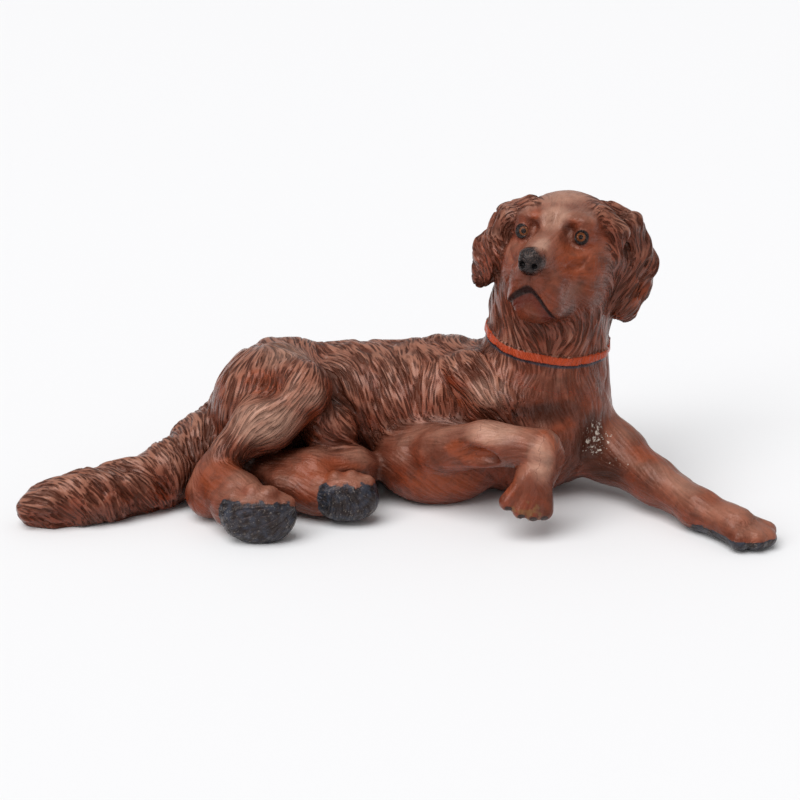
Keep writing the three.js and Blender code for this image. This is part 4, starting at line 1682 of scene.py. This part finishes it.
    def material(self) -> bpy.types.Material:
        """The whole material: colours from the coat outwards, then the varnish and the fine relief.

        Returns:
            The new material.
        """
        s = Shader("painted_resin")
        where = s.place()
        groove, mottle = s.attribute("groove"), s.noise(where, 260, 3)
        fur = s.combed(where, s.vector("lie"), scale=780, stride=0.0010, reach=6, gain=12)
        strands = fur.rise(-0.8, 0.3)
        colour = self.coat_colour(s, where, fur)
        colour = self.paw_colour(s, where, colour, mottle)
        colour, glossy = self.face_colour(s, where, colour)
        colour, band = self.collar_colour(s, colour, mottle)
        satin = self.varnish.roughness + (mottle - 0.5) * 0.2 + groove * 0.12
        relief = self.fine_relief(s, where, strands, s.attribute("pads").most(glossy).most(band))
        depth = self.varnish.depth
        bump = s.node("ShaderNodeBump", {}, {"Height": relief, "Strength": 1.0, "Distance": depth})
        finish = {
            "Base Color": self.chipped(s, where, colour, strands),
            "Roughness": satin * (1 - glossy * 0.6),
            "Specular IOR Level": self.varnish.sheen,
            "Specular Tint": self.varnish.sheen_tint,
            "Coat Weight": (1 - groove) * strands * self.varnish.coat,
            "Coat Roughness": self.varnish.coat_roughness,
            "Coat Tint": self.varnish.coat_tint,
            "Normal": bump.outputs[0],
        }
        for name, value in finish.items():
            s.feed(s.surface.inputs[name], value)
        return s.material


@dataclass
class FigureSkin:
    """The figure's fine surface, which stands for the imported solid."""

    figure: Figure
    step: float = 0.2
    fine: float = 0.14
    fine_x: tuple = (10.5, 36.0)
    fine_y: tuple = (-16.5, -4.0)
    fine_z: tuple = (25.0, 44.0)
    budget: int = 196000

    def axes(self) -> list[Array]:
        """Grid lines.

        Returns:
            The lines along x, y and z, closer together through the head.
        """
        stretches = (self.fine_x, self.fine_y, self.fine_z)
        return [
            graded_axis(low, high, self.step, self.fine, *stretch)
            for low, high, stretch in zip(self.figure.low, self.figure.high, stretches)
        ]

    def build(self) -> tuple[bpy.types.Object, Setting]:
        """Traces, carves, thins and paints the surface.

        Returns:
            The figure's object and its place in the frame.
        """
        axes = self.axes()
        values = sample_field(self.figure.distance, axes)
        LOG.info("field sampled on %s grid lines", values.shape)
        points, squares = trace_surface(values, axes)
        del values
        slope = self.figure.slope(points)
        size = lengths(slope)
        points = points - slope / size**2 * np.clip(self.figure.distance(points), -0.1, 0.1)[:, None]
        points[:, 2] = np.maximum(points[:, 2], 0)
        normal = slope / size
        LOG.info("surface of %d squares traced", len(squares))
        setting = Setting(np.append((points.min(0) + points.max(0))[:2] / 2, 0.0))
        hair = Hair(CoatField(self.figure))
        height, _, _ = hair.relief(points, normal)
        grounded = smoothstep(points[:, 2], 0.0, 0.6)
        carved = points + (height * grounded)[:, None] * normal
        LOG.info("coat carved")
        dense = mesh_of("figure_surface", setting.metres(carved), triangles_of(carved, squares))
        mesh = thinned("figure_surface", dense, self.budget)
        LOG.info("thinned to %d triangles", len(mesh.polygons))
        PaintedCoat(self.figure, hair).apply(mesh, setting)
        LOG.info("paint placed")
        skin = bpy.data.objects.new("painted_figure", mesh)
        bpy.context.scene.collection.objects.link(skin)
        mesh.materials.append(ResinPaint(self.figure, setting).material())
        return skin, setting


def facing(place: Array, target: Array) -> tuple:
    """Euler angles that turn an object's -Z from `place` to `target`, with +Y up in the picture.

    Args:
        place: where the object stands.
        target: what it looks at.

    Returns:
        The turns about x, y and z, in radians.
    """
    look = target - place
    flat = math.hypot(look[0], look[1])
    return (math.atan2(flat, -look[2]), 0.0, math.atan2(look[1], look[0]) - math.pi / 2)


@dataclass(frozen=True)
class Lamp:
    """A far lamp that shines from `place` to the origin, as wide as `spread` degrees of the sky."""

    name: str
    place: tuple
    spread: float
    power: float

    def hang(self) -> None:
        """Adds the lamp to the scene."""
        light = bpy.data.lights.new(self.name, "SUN")
        light.angle = math.radians(self.spread)
        light.energy = self.power
        lamp = bpy.data.objects.new(self.name, light)
        lamp.location = self.place
        lamp.rotation_euler = facing(np.array(self.place), np.zeros(3))
        bpy.context.scene.collection.objects.link(lamp)


@dataclass
class Studio:
    """A pale floor, soft light and the camera at the photograph's angle."""

    elevation: float = 18.0
    distance: float = 196.75 * SHARE
    target_height: float = 12.6 * SHARE
    focal_pixels: float = 1358.0
    picture: int = 800
    sensor: float = 36.0
    floor_half: float = 40.0
    paper: tuple = (0.88, 0.88, 0.89, 1)
    surround: float = 0.42
    lamps: tuple = (
        Lamp("top_box", (-0.3, -0.35, 1.0), 50, 2.0),
        Lamp("side_box", (-0.9, -0.8, 0.7), 30, 0.7),
    )

    def floor(self) -> bpy.types.Object:
        """A wide matt floor.

        Returns:
            The floor's object, a square round the origin.
        """
        h = self.floor_half
        mesh = bpy.data.meshes.new("floor")
        mesh.from_pydata([(-h, -h, 0), (h, -h, 0), (h, h, 0), (-h, h, 0)], [], [(0, 1, 2, 3)])
        floor = bpy.data.objects.new("floor", mesh)
        bpy.context.scene.collection.objects.link(floor)
        shader = Shader("floor_paper")
        shader.feed(shader.surface.inputs["Base Color"], self.paper)
        shader.feed(shader.surface.inputs["Roughness"], 0.9)
        shader.feed(shader.surface.inputs["Specular IOR Level"], 0.1)
        mesh.materials.append(shader.material)
        return floor

    def world(self) -> None:
        """An even white surround, weak enough to leave dark paint dark."""
        world = bpy.data.worlds.new("surround")
        world.use_nodes = True
        back = world.node_tree.nodes["Background"]
        back.inputs["Color"].default_value = (1.0, 1.0, 1.0, 1)
        back.inputs["Strength"].default_value = self.surround
        bpy.context.scene.world = world

    def camera(self, setting: Setting) -> None:
        """Stands the camera in front of the drawn origin, looking down by the elevation.

        Args:
            setting: gives the drawn origin's place in the frame.
        """
        rise = math.radians(self.elevation)
        target = setting.metres((0, 0, 0)) + np.array([0, 0, self.target_height])
        place = target + self.distance * np.array([0, -math.cos(rise), math.sin(rise)])
        lens = bpy.data.cameras.new("camera")
        lens.sensor_width = self.sensor
        lens.lens = self.focal_pixels / self.picture * self.sensor
        camera = bpy.data.objects.new("camera", lens)
        camera.location = place
        camera.rotation_euler = facing(place, target)
        bpy.context.scene.collection.objects.link(camera)
        bpy.context.scene.camera = camera

    def build(self, setting: Setting) -> None:
        """Sets the floor, lamps, surround and camera.

        Args:
            setting: gives the drawn origin's place in the frame.
        """
        self.floor()
        for lamp in self.lamps:
            lamp.hang()
        self.world()
        self.camera(setting)
        bpy.context.scene.view_settings.view_transform = "Standard"


def main() -> None:
    """Builds the figure, then the studio round it."""
    logging.basicConfig(level=logging.INFO, format="%(relativeCreated)d ms %(message)s")
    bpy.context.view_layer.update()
    skin, setting = FigureSkin(Figure()).build()
    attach(skin, "root")
    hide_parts(NODE)
    LOG.info("%s rides on root", skin.name)
    Studio().build(setting)


if __name__ == "__main__":
    main()
